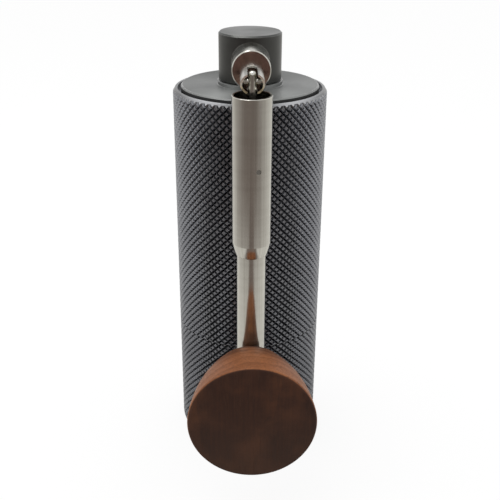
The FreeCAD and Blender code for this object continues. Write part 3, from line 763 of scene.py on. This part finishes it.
@dataclass
class Dresser:
    """Gives every carried-over CAD node its finish."""

    finishes: Finishes
    shared: SharedEffects
    collar_facing: float = 0.95
    fork_facing: float = 0.4
    lid_tilt: float = 0.3
    lid_inside: float = 23.0 * MM

    def __post_init__(self) -> None:
        """Build each material once."""
        names = [field.name for field in fields(self.finishes)]
        self.materials = {name: getattr(self.finishes, name).build(self.shared) for name in names}

    @staticmethod
    def finish_of(node: str, slot: str) -> str:
        """Choose the finish for a node.

        Args:
            node: the CAD node's name.
            slot: the record's material slot.

        Returns:
            The finish's name.
        """
        if node == "bush_screw":
            return "screw"
        if node in ("crank_arm", "tongue_rod", "tongue_button", "lock_spring"):
            return "arm"
        if node in ("stub_collar", "pivot_fork", "hinge_pin", "knob_axle"):
            return "fork"
        by_slot = {
            "dark_aluminium": "body",
            "grey_aluminium": "lid",
            "hub_aluminium": "hub",
            "polished_steel": "steel",
            "burr_steel": "burr",
            "brass": "brass",
            "walnut": "walnut",
            "black_plastic": "plastic",
            "black_rubber": "rubber",
        }
        return by_slot[slot]

    def dress(self, nodes: dict[str, bpy.types.Object]) -> None:
        """Set the material of each CAD node, and of the faces that carry painted light: a painted reflection
        on the collar's front face, a painted highlight on the fork's front ends and painted shade on the
        lid's upright side.

        Args:
            nodes: the CAD objects by name.
        """
        for name, piece in nodes.items():
            slot = piece.material_slots[0].material.name.split(".")[0]
            finish = self.finish_of(name, slot)
            for holder in piece.material_slots:
                holder.material = self.materials[finish]
            LOG.info("%s is finished as %s", name, finish)
        # Painted reflection on the collar's front face.
        self.tint(nodes["stub_collar"], "collar_face", lambda face: face.normal.y < -self.collar_facing)
        # Painted highlight on the fork's front ends.
        self.tint(nodes["pivot_fork"], "fork_end", lambda face: face.normal.y < -self.fork_facing)
        # Painted shade: the lid's upright outer side takes the black rubber finish, standing in for the
        # shaded gap between lid and rim.
        self.tint(nodes["lid"], "rubber", self.at_lid_side)

    def at_lid_side(self, face: bpy.types.MeshPolygon) -> bool:
        """Return whether a face of the lid is its upright outer side, which gets painted shade."""
        return abs(face.normal.z) < self.lid_tilt and face.center.xy.length > self.lid_inside

    def tint(
        self, piece: bpy.types.Object, finish: str, chosen: Callable[[bpy.types.MeshPolygon], bool]
    ) -> None:
        """Give some faces of a piece a material of their own, which here carries painted light.

        Args:
            piece: the piece.
            finish: the finish's name.
            chosen: whether a face gets the finish.
        """
        piece.data.materials.append(self.materials[finish])
        last = len(piece.data.materials) - 1
        for face in piece.data.polygons:
            if chosen(face):
                face.material_index = last


def grown(tree: bpy.types.NodeTree, values: dict[str, Any]) -> bpy.types.Mesh:
    """Run a Geometry Nodes tree and keep its result as a plain mesh.

    Args:
        tree: the tree.
        values: each input's value by its name.

    Returns:
        The mesh.
    """
    holder = add_object(tree.name, bpy.data.meshes.new(tree.name))
    modifier = holder.modifiers.new(tree.name, "NODES")
    modifier.node_group = tree
    for item in tree.interface.items_tree:
        if item.in_out == "INPUT":
            modifier[item.identifier] = values[item.name]
    graph = bpy.context.evaluated_depsgraph_get()
    mesh = bpy.data.meshes.new_from_object(holder.evaluated_get(graph))
    holder.modifiers.remove(modifier)
    bpy.data.objects.remove(holder)
    return mesh


def begin_tree(name: str, inputs: dict[str, Iterable[str]]) -> tuple[bpy.types.NodeTree, Graph, Any]:
    """Begin a Geometry Nodes tree with named inputs and one geometry output.

    Args:
        name: the tree's name.
        inputs: names of the inputs by their kind of socket.

    Returns:
        The tree, its graph and its input sockets.
    """
    tree = bpy.data.node_groups.new(name, "GeometryNodeTree")
    tree.interface.new_socket(name="Geometry", in_out="OUTPUT", socket_type="NodeSocketGeometry")
    for kind, labels in inputs.items():
        for label in labels:
            tree.interface.new_socket(name=label, in_out="INPUT", socket_type="NodeSocket" + kind)
    graph = Graph(tree)
    return tree, graph, graph.add("NodeGroupInput").outputs


def end_tree(graph: Graph, geometry: Socket, material: Socket) -> None:
    """Make the instances real, set the material and put the geometry out.

    Args:
        graph: the tree's graph.
        geometry: what the tree made.
        material: the material input.
    """
    plain = graph.add("GeometryNodeRealizeInstances", {0: geometry}).outputs[0]
    dressed = graph.add("GeometryNodeSetMaterial", {"Geometry": plain, "Material": material})
    result = graph.add("NodeGroupOutput")
    graph.put(result.inputs[0], dressed.outputs[0])


@dataclass
class Knurl:
    """A diamond knurl rolled into a cylinder, made with Geometry Nodes."""

    starts: int = 67
    row_height: float = 1.2297 * MM
    crest: float = 26.0 * MM
    depth: float = 0.8 * MM
    flat_share: float = 0.48
    weld: float = 0.01 * MM

    def tree(self) -> bpy.types.NodeTree:
        """Make the tree that sets diamonds on a lattice and rolls them into a tube.

        Returns:
            The tree, which is made once.
        """
        known = bpy.data.node_groups.get("diamond_knurl")
        if known:
            return known
        inputs = {
            "Int": ("Starts", "Rows"),
            "Float": ("Row Height", "Crest", "Depth", "Flat Share", "Low Z", "Low Radius", "High Radius"),
            "Material": ("Material",),
        }
        tree, graph, source = begin_tree("diamond_knurl", inputs)
        pitch = graph.math("DIVIDE", graph.math("MULTIPLY", source["Crest"], math.tau), source["Starts"])
        tile = self.tile(graph, source, pitch)
        rolled = self.roll(graph, source, self.lattice(graph, source, tile, pitch), pitch)
        welded = graph.add("GeometryNodeMergeByDistance", {"Geometry": rolled, "Distance": self.weld})
        end_tree(graph, welded.outputs[0], source["Material"])
        return tree

    @staticmethod
    def tile(graph: Graph, source: Any, pitch: Socket) -> Socket:
        """Make one diamond with a flat top, lying in the XY plane.

        Args:
            graph: the tree's graph.
            source: the tree's inputs.
            pitch: width of a diamond.

        Returns:
            The diamond.
        """
        unit = {"Size X": 1.0, "Size Y": 1.0, "Vertices X": 2, "Vertices Y": 2}
        square = graph.add("GeometryNodeMeshGrid", unit)
        stud = graph.add(
            "GeometryNodeExtrudeMesh",
            {"Mesh": square.outputs[0], "Offset Scale": source["Depth"], "Individual": False},
            mode="FACES",
        )
        narrowed = graph.add(
            "GeometryNodeScaleElements",
            {
                "Geometry": stud.outputs["Mesh"],
                "Selection": stud.outputs["Top"],
                "Scale": source["Flat Share"],
            },
        )
        a, b, height = graph.split(graph.add("GeometryNodeInputPosition").outputs[0])
        half_pitch = graph.math("MULTIPLY", pitch, 0.5)
        x = graph.math("MULTIPLY", graph.math("ADD", a, b), half_pitch)
        y = graph.math("MULTIPLY", graph.math("SUBTRACT", b, a), source["Row Height"])
        corners = {"Geometry": narrowed.outputs[0], "Position": graph.join(x, y, height)}
        return graph.add("GeometryNodeSetPosition", corners).outputs[0]

    @staticmethod
    def lattice(graph: Graph, source: Any, tile: Socket, pitch: Socket) -> Socket:
        """Set the diamonds in staggered rows.

        Args:
            graph: the tree's graph.
            source: the tree's inputs.
            tile: the diamond.
            pitch: width of a diamond.

        Returns:
            The rows, lying in the XY plane.
        """
        index = graph.add("GeometryNodeInputIndex").outputs[0]
        row = graph.math("FLOOR", graph.math("DIVIDE", graph.math("ADD", index, 0.5), source["Starts"]))
        column = graph.math("SUBTRACT", index, graph.math("MULTIPLY", row, source["Starts"]))
        stagger = graph.math("MULTIPLY", graph.math("FLOORED_MODULO", row, 2.0), 0.5)
        x = graph.math("MULTIPLY", graph.math("ADD", column, stagger), pitch)
        y = graph.math("MULTIPLY", row, source["Row Height"])
        count = graph.math("MULTIPLY", source["Starts"], source["Rows"])
        points = graph.add("GeometryNodePoints", {"Count": count, "Position": graph.join(x, y, 0.0)})
        placed = graph.add("GeometryNodeInstanceOnPoints", {"Points": points.outputs[0], "Instance": tile})
        return graph.add("GeometryNodeRealizeInstances", {0: placed.outputs[0]}).outputs[0]

    @staticmethod
    def roll(graph: Graph, source: Any, studs: Socket, pitch: Socket) -> Socket:
        """Roll the flat rows about Z, with an end run out to a plain circle where it has a radius.

        Args:
            graph: the tree's graph.
            source: the tree's inputs.
            studs: the flat rows.
            pitch: width of a diamond.

        Returns:
            The open tube.
        """
        x, y, height = graph.split(graph.add("GeometryNodeInputPosition").outputs[0])
        top = graph.math("MULTIPLY", graph.math("SUBTRACT", source["Rows"], 1.0), source["Row Height"])
        kept = graph.math("MINIMUM", graph.math("MAXIMUM", y, 0.0), top)
        radius = graph.math("ADD", graph.math("SUBTRACT", source["Crest"], source["Depth"]), height)
        margin = graph.math("MULTIPLY", source["Row Height"], 0.01)
        at_low = graph.math("LESS_THAN", y, margin)
        at_high = graph.math("GREATER_THAN", y, graph.math("SUBTRACT", top, margin))
        for end, plain in ((at_low, source["Low Radius"]), (at_high, source["High Radius"])):
            wanted = graph.math("MULTIPLY", end, graph.math("GREATER_THAN", plain, 0.0))
            change = graph.math("MULTIPLY", wanted, graph.math("SUBTRACT", plain, radius))
            radius = graph.math("ADD", radius, change)
        girth = graph.math("MULTIPLY", pitch, source["Starts"])
        angle = graph.math("DIVIDE", graph.math("MULTIPLY", x, math.tau), girth)
        place = graph.join(
            graph.math("MULTIPLY", radius, graph.math("COSINE", angle)),
            graph.math("MULTIPLY", radius, graph.math("SINE", angle)),
            graph.math("ADD", kept, source["Low Z"]),
        )
        return graph.add("GeometryNodeSetPosition", {"Geometry": studs, "Position": place}).outputs[0]

    def skin(self, low: Ring, rows: int, high_radius: float, material: bpy.types.Material) -> bpy.types.Mesh:
        """Make the knurled skin as a plain mesh.

        Args:
            low: radius and height of the plain circle at the lower end, with radius 0 for a cut end.
            rows: number of diamond rows.
            high_radius: radius of the plain circle at the upper end, or 0 for a cut end.
            material: the finish.

        Returns:
            An open tube with one boundary circle at each end.
        """
        values = {
            "Starts": self.starts,
            "Rows": rows,
            "Row Height": self.row_height,
            "Crest": self.crest,
            "Depth": self.depth,
            "Flat Share": self.flat_share,
            "Low Z": low[1],
            "Low Radius": low[0],
            "High Radius": high_radius,
            "Material": material,
        }
        return grown(self.tree(), values)


@dataclass
class TurnedShell:
    """A knurled skin carried on over its ends by plain turned faces."""

    knurl: Knurl
    low: Ring
    rows: int
    high_radius: float
    name: str = "turned_shell"
    seam: Ring = (25.7 * MM, 44.4 * MM)
    level: float = 0.02 * MM
    weld: float = 0.004 * MM
    sliver: float = 0.002 * MM
    crease: float = 22.0
    rim_band: float = 0.95 * MM

    def start(self, material: bpy.types.Material) -> tuple[bmesh.types.BMesh, list, list]:
        """Begin the shell with its knurled skin.

        Args:
            material: the finish.

        Returns:
            The mesh, and the open edges at its lower and its upper end.
        """
        mesh = bmesh.new()
        mesh.from_mesh(self.knurl.skin(self.low, self.rows, self.high_radius, material))
        top = self.low[1] + (self.rows - 1) * self.knurl.row_height
        return mesh, self.loop(mesh, self.low[1]), self.loop(mesh, top)

    def loop(self, mesh: bmesh.types.BMesh, height: float) -> list[bmesh.types.BMEdge]:
        """Find the open edges that lie at a height.

        Args:
            mesh: the mesh being built.
            height: the height.

        Returns:
            The edges.
        """
        edges = []
        for edge in mesh.edges:
            flat = all(abs(vertex.co.z - height) < self.level for vertex in edge.verts)
            if edge.is_boundary and flat:
                edges.append(edge)
        return edges

    @staticmethod
    def carry(mesh: bmesh.types.BMesh, edges: list, profile: Iterable[Ring]) -> list:
        """Extrude a circle of edges along a profile of radius and height.

        Args:
            mesh: the mesh being built.
            edges: the circle to start from.
            profile: radius and height of each new circle.

        Returns:
            The edges of the last circle.
        """
        for radius, height in profile:
            added = bmesh.ops.extrude_edge_only(mesh, edges=edges)["geom"]
            edges = [item for item in added if isinstance(item, bmesh.types.BMEdge)]
            for vertex in (item for item in added if isinstance(item, bmesh.types.BMVert)):
                angle = math.atan2(vertex.co.y, vertex.co.x)
                vertex.co = (radius * math.cos(angle), radius * math.sin(angle), height)
            edges = [edge for edge in edges if edge.is_boundary]
        return edges

    def finish(
        self, mesh: bmesh.types.BMesh, material: bpy.types.Material, rim: bpy.types.Material | None = None
    ) -> bpy.types.Object:
        """Weld the mesh and set its finish and shading.

        Args:
            mesh: the closed shell.
            material: the finish of the shell.
            rim: the finish of the faces at its very top, if they have their own.

        Returns:
            The piece.
        """
        bmesh.ops.remove_doubles(mesh, verts=mesh.verts, dist=self.weld)
        bmesh.ops.dissolve_degenerate(mesh, edges=mesh.edges, dist=self.sliver)
        bmesh.ops.recalc_face_normals(mesh, faces=mesh.faces)
        data = bpy.data.meshes.new(self.name)
        mesh.to_mesh(data)
        mesh.free()
        data.materials.clear()
        data.materials.append(material)
        for polygon in data.polygons:
            polygon.use_smooth = True
            polygon.material_index = 0
        if rim:
            data.materials.append(rim)
            top = max(vertex.co.z for vertex in data.vertices)
            for polygon in data.polygons:
                polygon.material_index = int(polygon.center.z > top - self.rim_band)
        data.set_sharp_from_angle(angle=math.radians(self.crease))
        LOG.info("%s has %d faces", self.name, len(data.polygons))
        return add_object(self.name, data)


@dataclass
class BodyShell(TurnedShell):
    """The knurled body: rim, lid recess, hopper, burr seat and spigot."""

    name: str = "body_shell"
    rim_edge: tuple[Ring, ...] = (
        (25.47 * MM, 130.85 * MM),
        (25.3 * MM, 131.1 * MM),
        (25.05 * MM, 131.2 * MM),
    )
    rim_top: float = 131.2 * MM
    rim_inside: float = 24.5 * MM
    recess_radius: float = 24.4 * MM
    recess_top: float = 131.1 * MM
    recess_floor: float = 129.6 * MM
    hopper_radius: float = 22.4 * MM
    ring_groove_radius: float = 23.0 * MM
    ring_groove: Span = (114.0 * MM, 115.0 * MM)
    seat_radius: float = 16.5 * MM
    seat: Span = (56.4 * MM, 62.0 * MM)
    spigot_bore: float = 20.6 * MM
    spigot_radius: float = 23.55 * MM
    spigot_end: float = 36.4 * MM
    seal_groove_radius: float = 22.65 * MM
    seal_groove: Span = (37.9 * MM, 39.7 * MM)

    def profile(self) -> list[Ring]:
        """Work out the circles over the rim, down the inside and back up to the seam.

        Returns:
            Radius and height of each circle.
        """
        rim = [*self.rim_edge, (self.rim_inside, self.rim_top)]
        recess = [
            (self.recess_radius, self.recess_top),
            (self.recess_radius, self.recess_floor),
            (self.hopper_radius, self.recess_floor),
        ]
        hopper = [
            (self.hopper_radius, self.ring_groove[1]),
            (self.ring_groove_radius, self.ring_groove[1]),
            (self.ring_groove_radius, self.ring_groove[0]),
            (self.hopper_radius, self.ring_groove[0]),
            (self.hopper_radius, self.seat[1]),
        ]
        seat = [
            (self.seat_radius, self.seat[1]),
            (self.seat_radius, self.seat[0]),
            (self.spigot_bore, self.seat[0]),
        ]
        spigot = [
            (self.spigot_bore, self.spigot_end),
            (self.spigot_radius, self.spigot_end),
            (self.spigot_radius, self.seal_groove[0]),
            (self.seal_groove_radius, self.seal_groove[0]),
            (self.seal_groove_radius, self.seal_groove[1]),
            (self.spigot_radius, self.seal_groove[1]),
            (self.spigot_radius, self.seam[1]),
        ]
        return rim + recess + hopper + seat + spigot + [self.seam]

    def build(self, material: bpy.types.Material, rim: bpy.types.Material) -> bpy.types.Object:
        """Make the body shell, which stands for the plain body.

        Args:
            material: the finish of the shell.
            rim: the finish of its rim.

        Returns:
            The shell.
        """
        mesh, lower, upper = self.start(material)
        self.carry(mesh, upper, self.profile())
        self.carry(mesh, lower, [self.seam])
        piece = self.finish(mesh, material, rim)
        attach(piece, "housing")
        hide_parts("outer_body")
        return piece


@dataclass
class BinShell(TurnedShell):
    """The knurled grounds bin, a cup with a flat base."""

    name: str = "bin_shell"
    mouth: tuple[Ring, ...] = ((23.8 * MM, 44.4 * MM), (23.7 * MM, 44.3 * MM))
    floor_round: tuple[Ring, ...] = ((23.7 * MM, 4.0 * MM), (23.4 * MM, 3.3 * MM), (22.7 * MM, 3.0 * MM))
    floor_height: float = 3.0 * MM
    foot_round: tuple[Ring, ...] = (
        (25.95 * MM, 0.95 * MM),
        (25.8 * MM, 0.5 * MM),
        (25.45 * MM, 0.12 * MM),
        (25.0 * MM, 0.0),
    )
    centre_radius: float = 8.0 * MM

    def build(self, material: bpy.types.Material) -> bpy.types.Object:
        """Make the bin shell, which stands for the plain bin.

        Args:
            material: the finish.

        Returns:
            The shell.
        """
        mesh, lower, upper = self.start(material)
        inside = [self.seam, *self.mouth, *self.floor_round, (self.centre_radius, self.floor_height)]
        below = [*self.foot_round, (self.centre_radius, 0.0)]
        for start, circles in ((upper, inside), (lower, below)):
            last = self.carry(mesh, start, circles)
            bmesh.ops.contextual_create(mesh, geom=last)
        piece = self.finish(mesh, material)
        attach(piece, "bin")
        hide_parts("grounds_bin")
        return piece


@dataclass
class CoilSpring:
    """A wound spring that shortens as a joint moves."""

    node: str
    body: str
    joint: str
    reach: float
    low: float
    high: float
    fixed: float
    diameter: float
    wire: float
    turns: float
    travel: float
    crease: float = 40.0

    @staticmethod
    def tree() -> bpy.types.NodeTree:
        """Make the tree that winds a round wire into a coil.

        Returns:
            The tree, which is made once.
        """
        known = bpy.data.node_groups.get("wound_wire")
        if known:
            return known
        inputs = {
            "Float": ("Turns", "Radius", "Height", "Wire Radius"),
            "Vector": ("Place",),
            "Material": ("Material",),
        }
        tree, graph, source = begin_tree("wound_wire", inputs)
        path = graph.add(
            "GeometryNodeCurveSpiral",
            {
                "Resolution": 32,
                "Rotations": source["Turns"],
                "Start Radius": source["Radius"],
                "End Radius": source["Radius"],
                "Height": source["Height"],
            },
        )
        circle = {"Resolution": 12, "Radius": source["Wire Radius"]}
        section = graph.add("GeometryNodeCurvePrimitiveCircle", circle)
        wound = graph.add(
            "GeometryNodeCurveToMesh",
            {"Curve": path.outputs[0], "Profile Curve": section.outputs[0], "Fill Caps": True},
        )
        seat = {"Geometry": wound.outputs[0], "Translation": source["Place"]}
        placed = graph.add("GeometryNodeTransform", seat)
        end_tree(graph, placed.outputs[0], source["Material"])
        return tree

    def build(self, material: bpy.types.Material) -> bpy.types.Object:
        """Wind the spring and seat it.

        Args:
            material: the finish.

        Returns:
            The spring.
        """
        values = {
            "Turns": self.turns,
            "Radius": self.diameter / 2,
            "Height": self.high - self.low - self.wire,
            "Wire Radius": self.wire / 2,
            "Place": (0.0, -self.reach, self.low + self.wire / 2),
            "Material": material,
        }
        data = grown(self.tree(), values)
        mesh = bmesh.new()
        mesh.from_mesh(data)
        bmesh.ops.recalc_face_normals(mesh, faces=mesh.faces)
        mesh.to_mesh(data)
        mesh.free()
        for polygon in data.polygons:
            polygon.use_smooth = True
        data.set_sharp_from_angle(angle=math.radians(self.crease))
        spring = add_object(self.node + "_wire", data)
        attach(spring, self.body)
        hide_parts(self.node)
        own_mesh(spring)
        LOG.info("%s has %d faces", spring.name, len(data.polygons))
        return spring


@dataclass
class Studio:
    """Floor, cards, light and camera."""

    distance: float = 270.33 * MM
    height: float = 194.9 * MM
    pitch: float = 24.77
    roll: float = 0.305
    turn: float = 1.05
    lens: float = 57.98
    sensor: float = 36.0
    shift: float = 0.0018
    clip: Span = (0.01, 50.0)
    world_level: float = 0.9
    floor_half: float = 6.0
    floor_drop: float = 0.2 * MM
    floor_colour: Colour = (0.95, 0.95, 0.95)
    floor_glow: float = 0.88
    card_half: float = 3.0
    card_lift: float = 0.2 * MM
    card_front: Colour = (0.2, 0.168, 0.153)
    card_back: Colour = (0.74, 0.73, 0.7)
    card_turn: float = 0.25
    card_swing: Span = (0.25, 2.7)
    card_reach: Span = (0.06, 0.35)
    # A painted shadow strip on the card in front of the knob.
    shadow_strip_half: Span = (0.045, 0.065)
    shadow_strip_start: float = -0.05
    upright_half: float = 0.6
    upright_place: float = -0.9
    upright_top: float = 0.45
    lamp_place: Point = (-0.12, 0.1, 0.75)
    lamp_aim: Point = (0.0, -0.02, 0.08)
    lamp_size: Span = (0.5, 0.4)
    lamp_power: float = 1.8

    def camera(self) -> bpy.types.Object:
        """Set the camera at the photograph's view.

        Returns:
            The camera.
        """
        data = bpy.data.cameras.new("camera")
        data.lens = self.lens
        data.sensor_width = self.sensor
        data.shift_x = self.shift
        data.clip_start, data.clip_end = self.clip
        camera = add_object("camera", data)
        turn = math.radians(self.turn)
        stand = (-self.distance * math.sin(turn), -self.distance * math.cos(turn), self.height)
        place = Matrix.Translation(stand)
        aim = Matrix.Rotation(-turn, 4, "Z") @ Matrix.Rotation(math.radians(90.0 - self.pitch), 4, "X")
        camera.matrix_world = place @ aim @ Matrix.Rotation(math.radians(self.roll), 4, "Z")
        bpy.context.scene.camera = camera
        return camera

    @staticmethod
    def sheet(name: str, corners: list[Point], material: bpy.types.Material) -> bpy.types.Object:
        """Make a flat sheet for the stage.

        Args:
            name: the sheet's name.
            corners: its four corners.
            material: its paint.

        Returns:
            The sheet.
        """
        data = bpy.data.meshes.new(name)
        data.from_pydata(corners, [], [(0, 1, 2, 3)])
        data.materials.append(material)
        return add_object(name, data)

    @staticmethod
    def lying(half: float, height: float) -> list[Point]:
        """Return the corners of a level square about the Z axis."""
        return [(-half, -half, height), (half, -half, height), (half, half, height), (-half, half, height)]

    def floor(self) -> bpy.types.Object:
        """Lay the white floor.

        Returns:
            The floor.
        """
        material, graph = empty_material("white_floor")
        paint = graph.add("ShaderNodeBsdfDiffuse", {"Color": rgba(self.floor_colour)})
        glow = graph.add("ShaderNodeEmission", {"Color": WHITE, "Strength": 1.0})
        path = graph.add("ShaderNodeLightPath").outputs
        seen = graph.math("MAXIMUM", path["Is Camera Ray"], path["Is Glossy Ray"])
        seen = graph.math("MAXIMUM", seen, path["Is Transmission Ray"])
        share = graph.math("MULTIPLY", seen, self.floor_glow)
        blend = graph.add("ShaderNodeMixShader", {0: share, 1: paint.outputs[0], 2: glow.outputs[0]})
        output = graph.add("ShaderNodeOutputMaterial")
        graph.put(output.inputs[0], blend.outputs[0])
        floor = self.sheet("floor", self.lying(self.floor_half, -self.floor_drop), material)
        return floor

    def shaded(self) -> bpy.types.Material:
        """Make the cards' paint, dark in front of the object and pale beside and behind it, with a painted
        shadow strip in front of the knob.

        Returns:
            The paint.
        """
        material, graph = empty_material("shaded_card")
        x, y, _ = graph.split(graph.add("ShaderNodeTexCoord").outputs["Object"])
        side = graph.math("ABSOLUTE", graph.math("ADD", graph.swing(x, y), self.card_turn))
        around = graph.spread(side, self.card_swing[0], self.card_swing[1], 1.0, 0.0)
        away = graph.spread(graph.radius(x, y), self.card_reach[0], self.card_reach[1])
        share = graph.math("MULTIPLY", around, away)
        # Painted shadow: a dark strip in front of the knob, which reflections show as the knob's shadow on
        # the floor.
        shadow_strip = graph.spread(graph.math("ABSOLUTE", x), self.shadow_strip_half[0], self.shadow_strip_half[1], 1.0, 0.0)
        shadow_strip = graph.math("MULTIPLY", shadow_strip, graph.math("LESS_THAN", y, self.shadow_strip_start))
        share = graph.math("MAXIMUM", share, shadow_strip)
        colour = graph.mix(share, rgba(self.card_back), rgba(self.card_front))
        paint = graph.add("ShaderNodeBsdfDiffuse", {"Color": colour})
        output = graph.add("ShaderNodeOutputMaterial")
        graph.put(output.inputs[0], paint.outputs[0])
        return material

    def cards(self) -> None:
        """Lay a card on the floor and stand one behind the camera, which only reflections see."""
        paint = self.shaded()
        side, back = self.upright_half, self.upright_place
        low, high = self.card_lift, self.upright_top
        upright = [(-side, back, low), (side, back, low), (side, back, high), (-side, back, high)]
        for name, corners in (("floor_card", self.lying(self.card_half, low)), ("front_card", upright)):
            card = self.sheet(name, corners, paint)
            card.visible_camera = False
            card.visible_diffuse = False
            card.visible_shadow = False
            card.visible_transmission = False

    def light(self) -> None:
        """Set an even white surround and one soft lamp above."""
        scene = bpy.context.scene
        world = bpy.data.worlds.new("white_surround")
        scene.world = world
        world.use_nodes = True
        world.node_tree.nodes.clear()
        graph = Graph(world.node_tree)
        path = graph.add("ShaderNodeLightPath").outputs
        levels = {0: path["Is Camera Ray"], 2: self.world_level, 3: 1.0}
        level = graph.add("ShaderNodeMix", levels, data_type="FLOAT").outputs[0]
        glow = graph.add("ShaderNodeBackground", {"Color": WHITE, "Strength": level})
        output = graph.add("ShaderNodeOutputWorld")
        graph.put(output.inputs[0], glow.outputs[0])
        self.softbox()
        scene.view_settings.view_transform = "Standard"

    def softbox(self) -> None:
        """Hang the soft lamp and aim it at the body."""
        lamp = bpy.data.lights.new("softbox_above", "AREA")
        lamp.shape = "RECTANGLE"
        lamp.size, lamp.size_y = self.lamp_size
        lamp.energy = self.lamp_power
        softbox = add_object("softbox_above", lamp)
        softbox.location = self.lamp_place
        aim = Vector(self.lamp_aim) - Vector(self.lamp_place)
        softbox.rotation_euler = aim.to_track_quat("-Z", "Y").to_euler()


def make_shells(dresser: Dresser) -> None:
    """Make the two knurled shells, whose knurl is cut by the seam between them.

    Args:
        dresser: holds the finishes.
    """
    knurl = Knurl()
    body = BodyShell(knurl=knurl, low=(0.0, 44.5 * MM), rows=71, high_radius=25.55 * MM)
    body.build(dresser.materials["body"], dresser.materials["rim"])
    bin_rows = 36
    lowest = 44.3 * MM - (bin_rows - 1) * knurl.row_height
    grounds_bin = BinShell(knurl=knurl, low=(25.95 * MM, lowest), rows=bin_rows, high_radius=0.0)
    grounds_bin.build(dresser.materials["body"])


def make_springs(dresser: Dresser) -> None:
    """Make the spring above the inner burr and the one inside the arm.

    Args:
        dresser: holds the finishes.
    """
    burr_spring = CoilSpring(
        node="burr_spring",
        body="rotor",
        joint="burr_adjust",
        reach=0.0,
        low=58.63 * MM,
        high=65.67 * MM,
        fixed=65.7 * MM,
        diameter=10.0 * MM,
        wire=1.0 * MM,
        turns=3.0,
        travel=1.0 * MM,
    )
    lock_spring = CoilSpring(
        node="lock_spring",
        body="tongue",
        joint="arm_pull",
        reach=Arm.reach,
        low=96.48 * MM,
        high=113.46 * MM,
        fixed=96.45 * MM,
        diameter=4.8 * MM,
        wire=0.7 * MM,
        turns=8.0,
        travel=10.0 * MM,
    )
    for spring in (burr_spring, lock_spring):
        spring.build(dresser.materials["steel"])


def main() -> None:
    """Build the pieces, dress them and set the studio."""
    logging.basicConfig(level=logging.INFO, format="%(message)s")
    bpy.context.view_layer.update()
    dresser = Dresser(Finishes(), SharedEffects())
    dresser.dress(frame["nodes"])
    make_shells(dresser)
    make_springs(dresser)
    studio = Studio()
    studio.camera()
    studio.floor()
    studio.cards()
    studio.light()


if __name__ == "__main__":
    main()
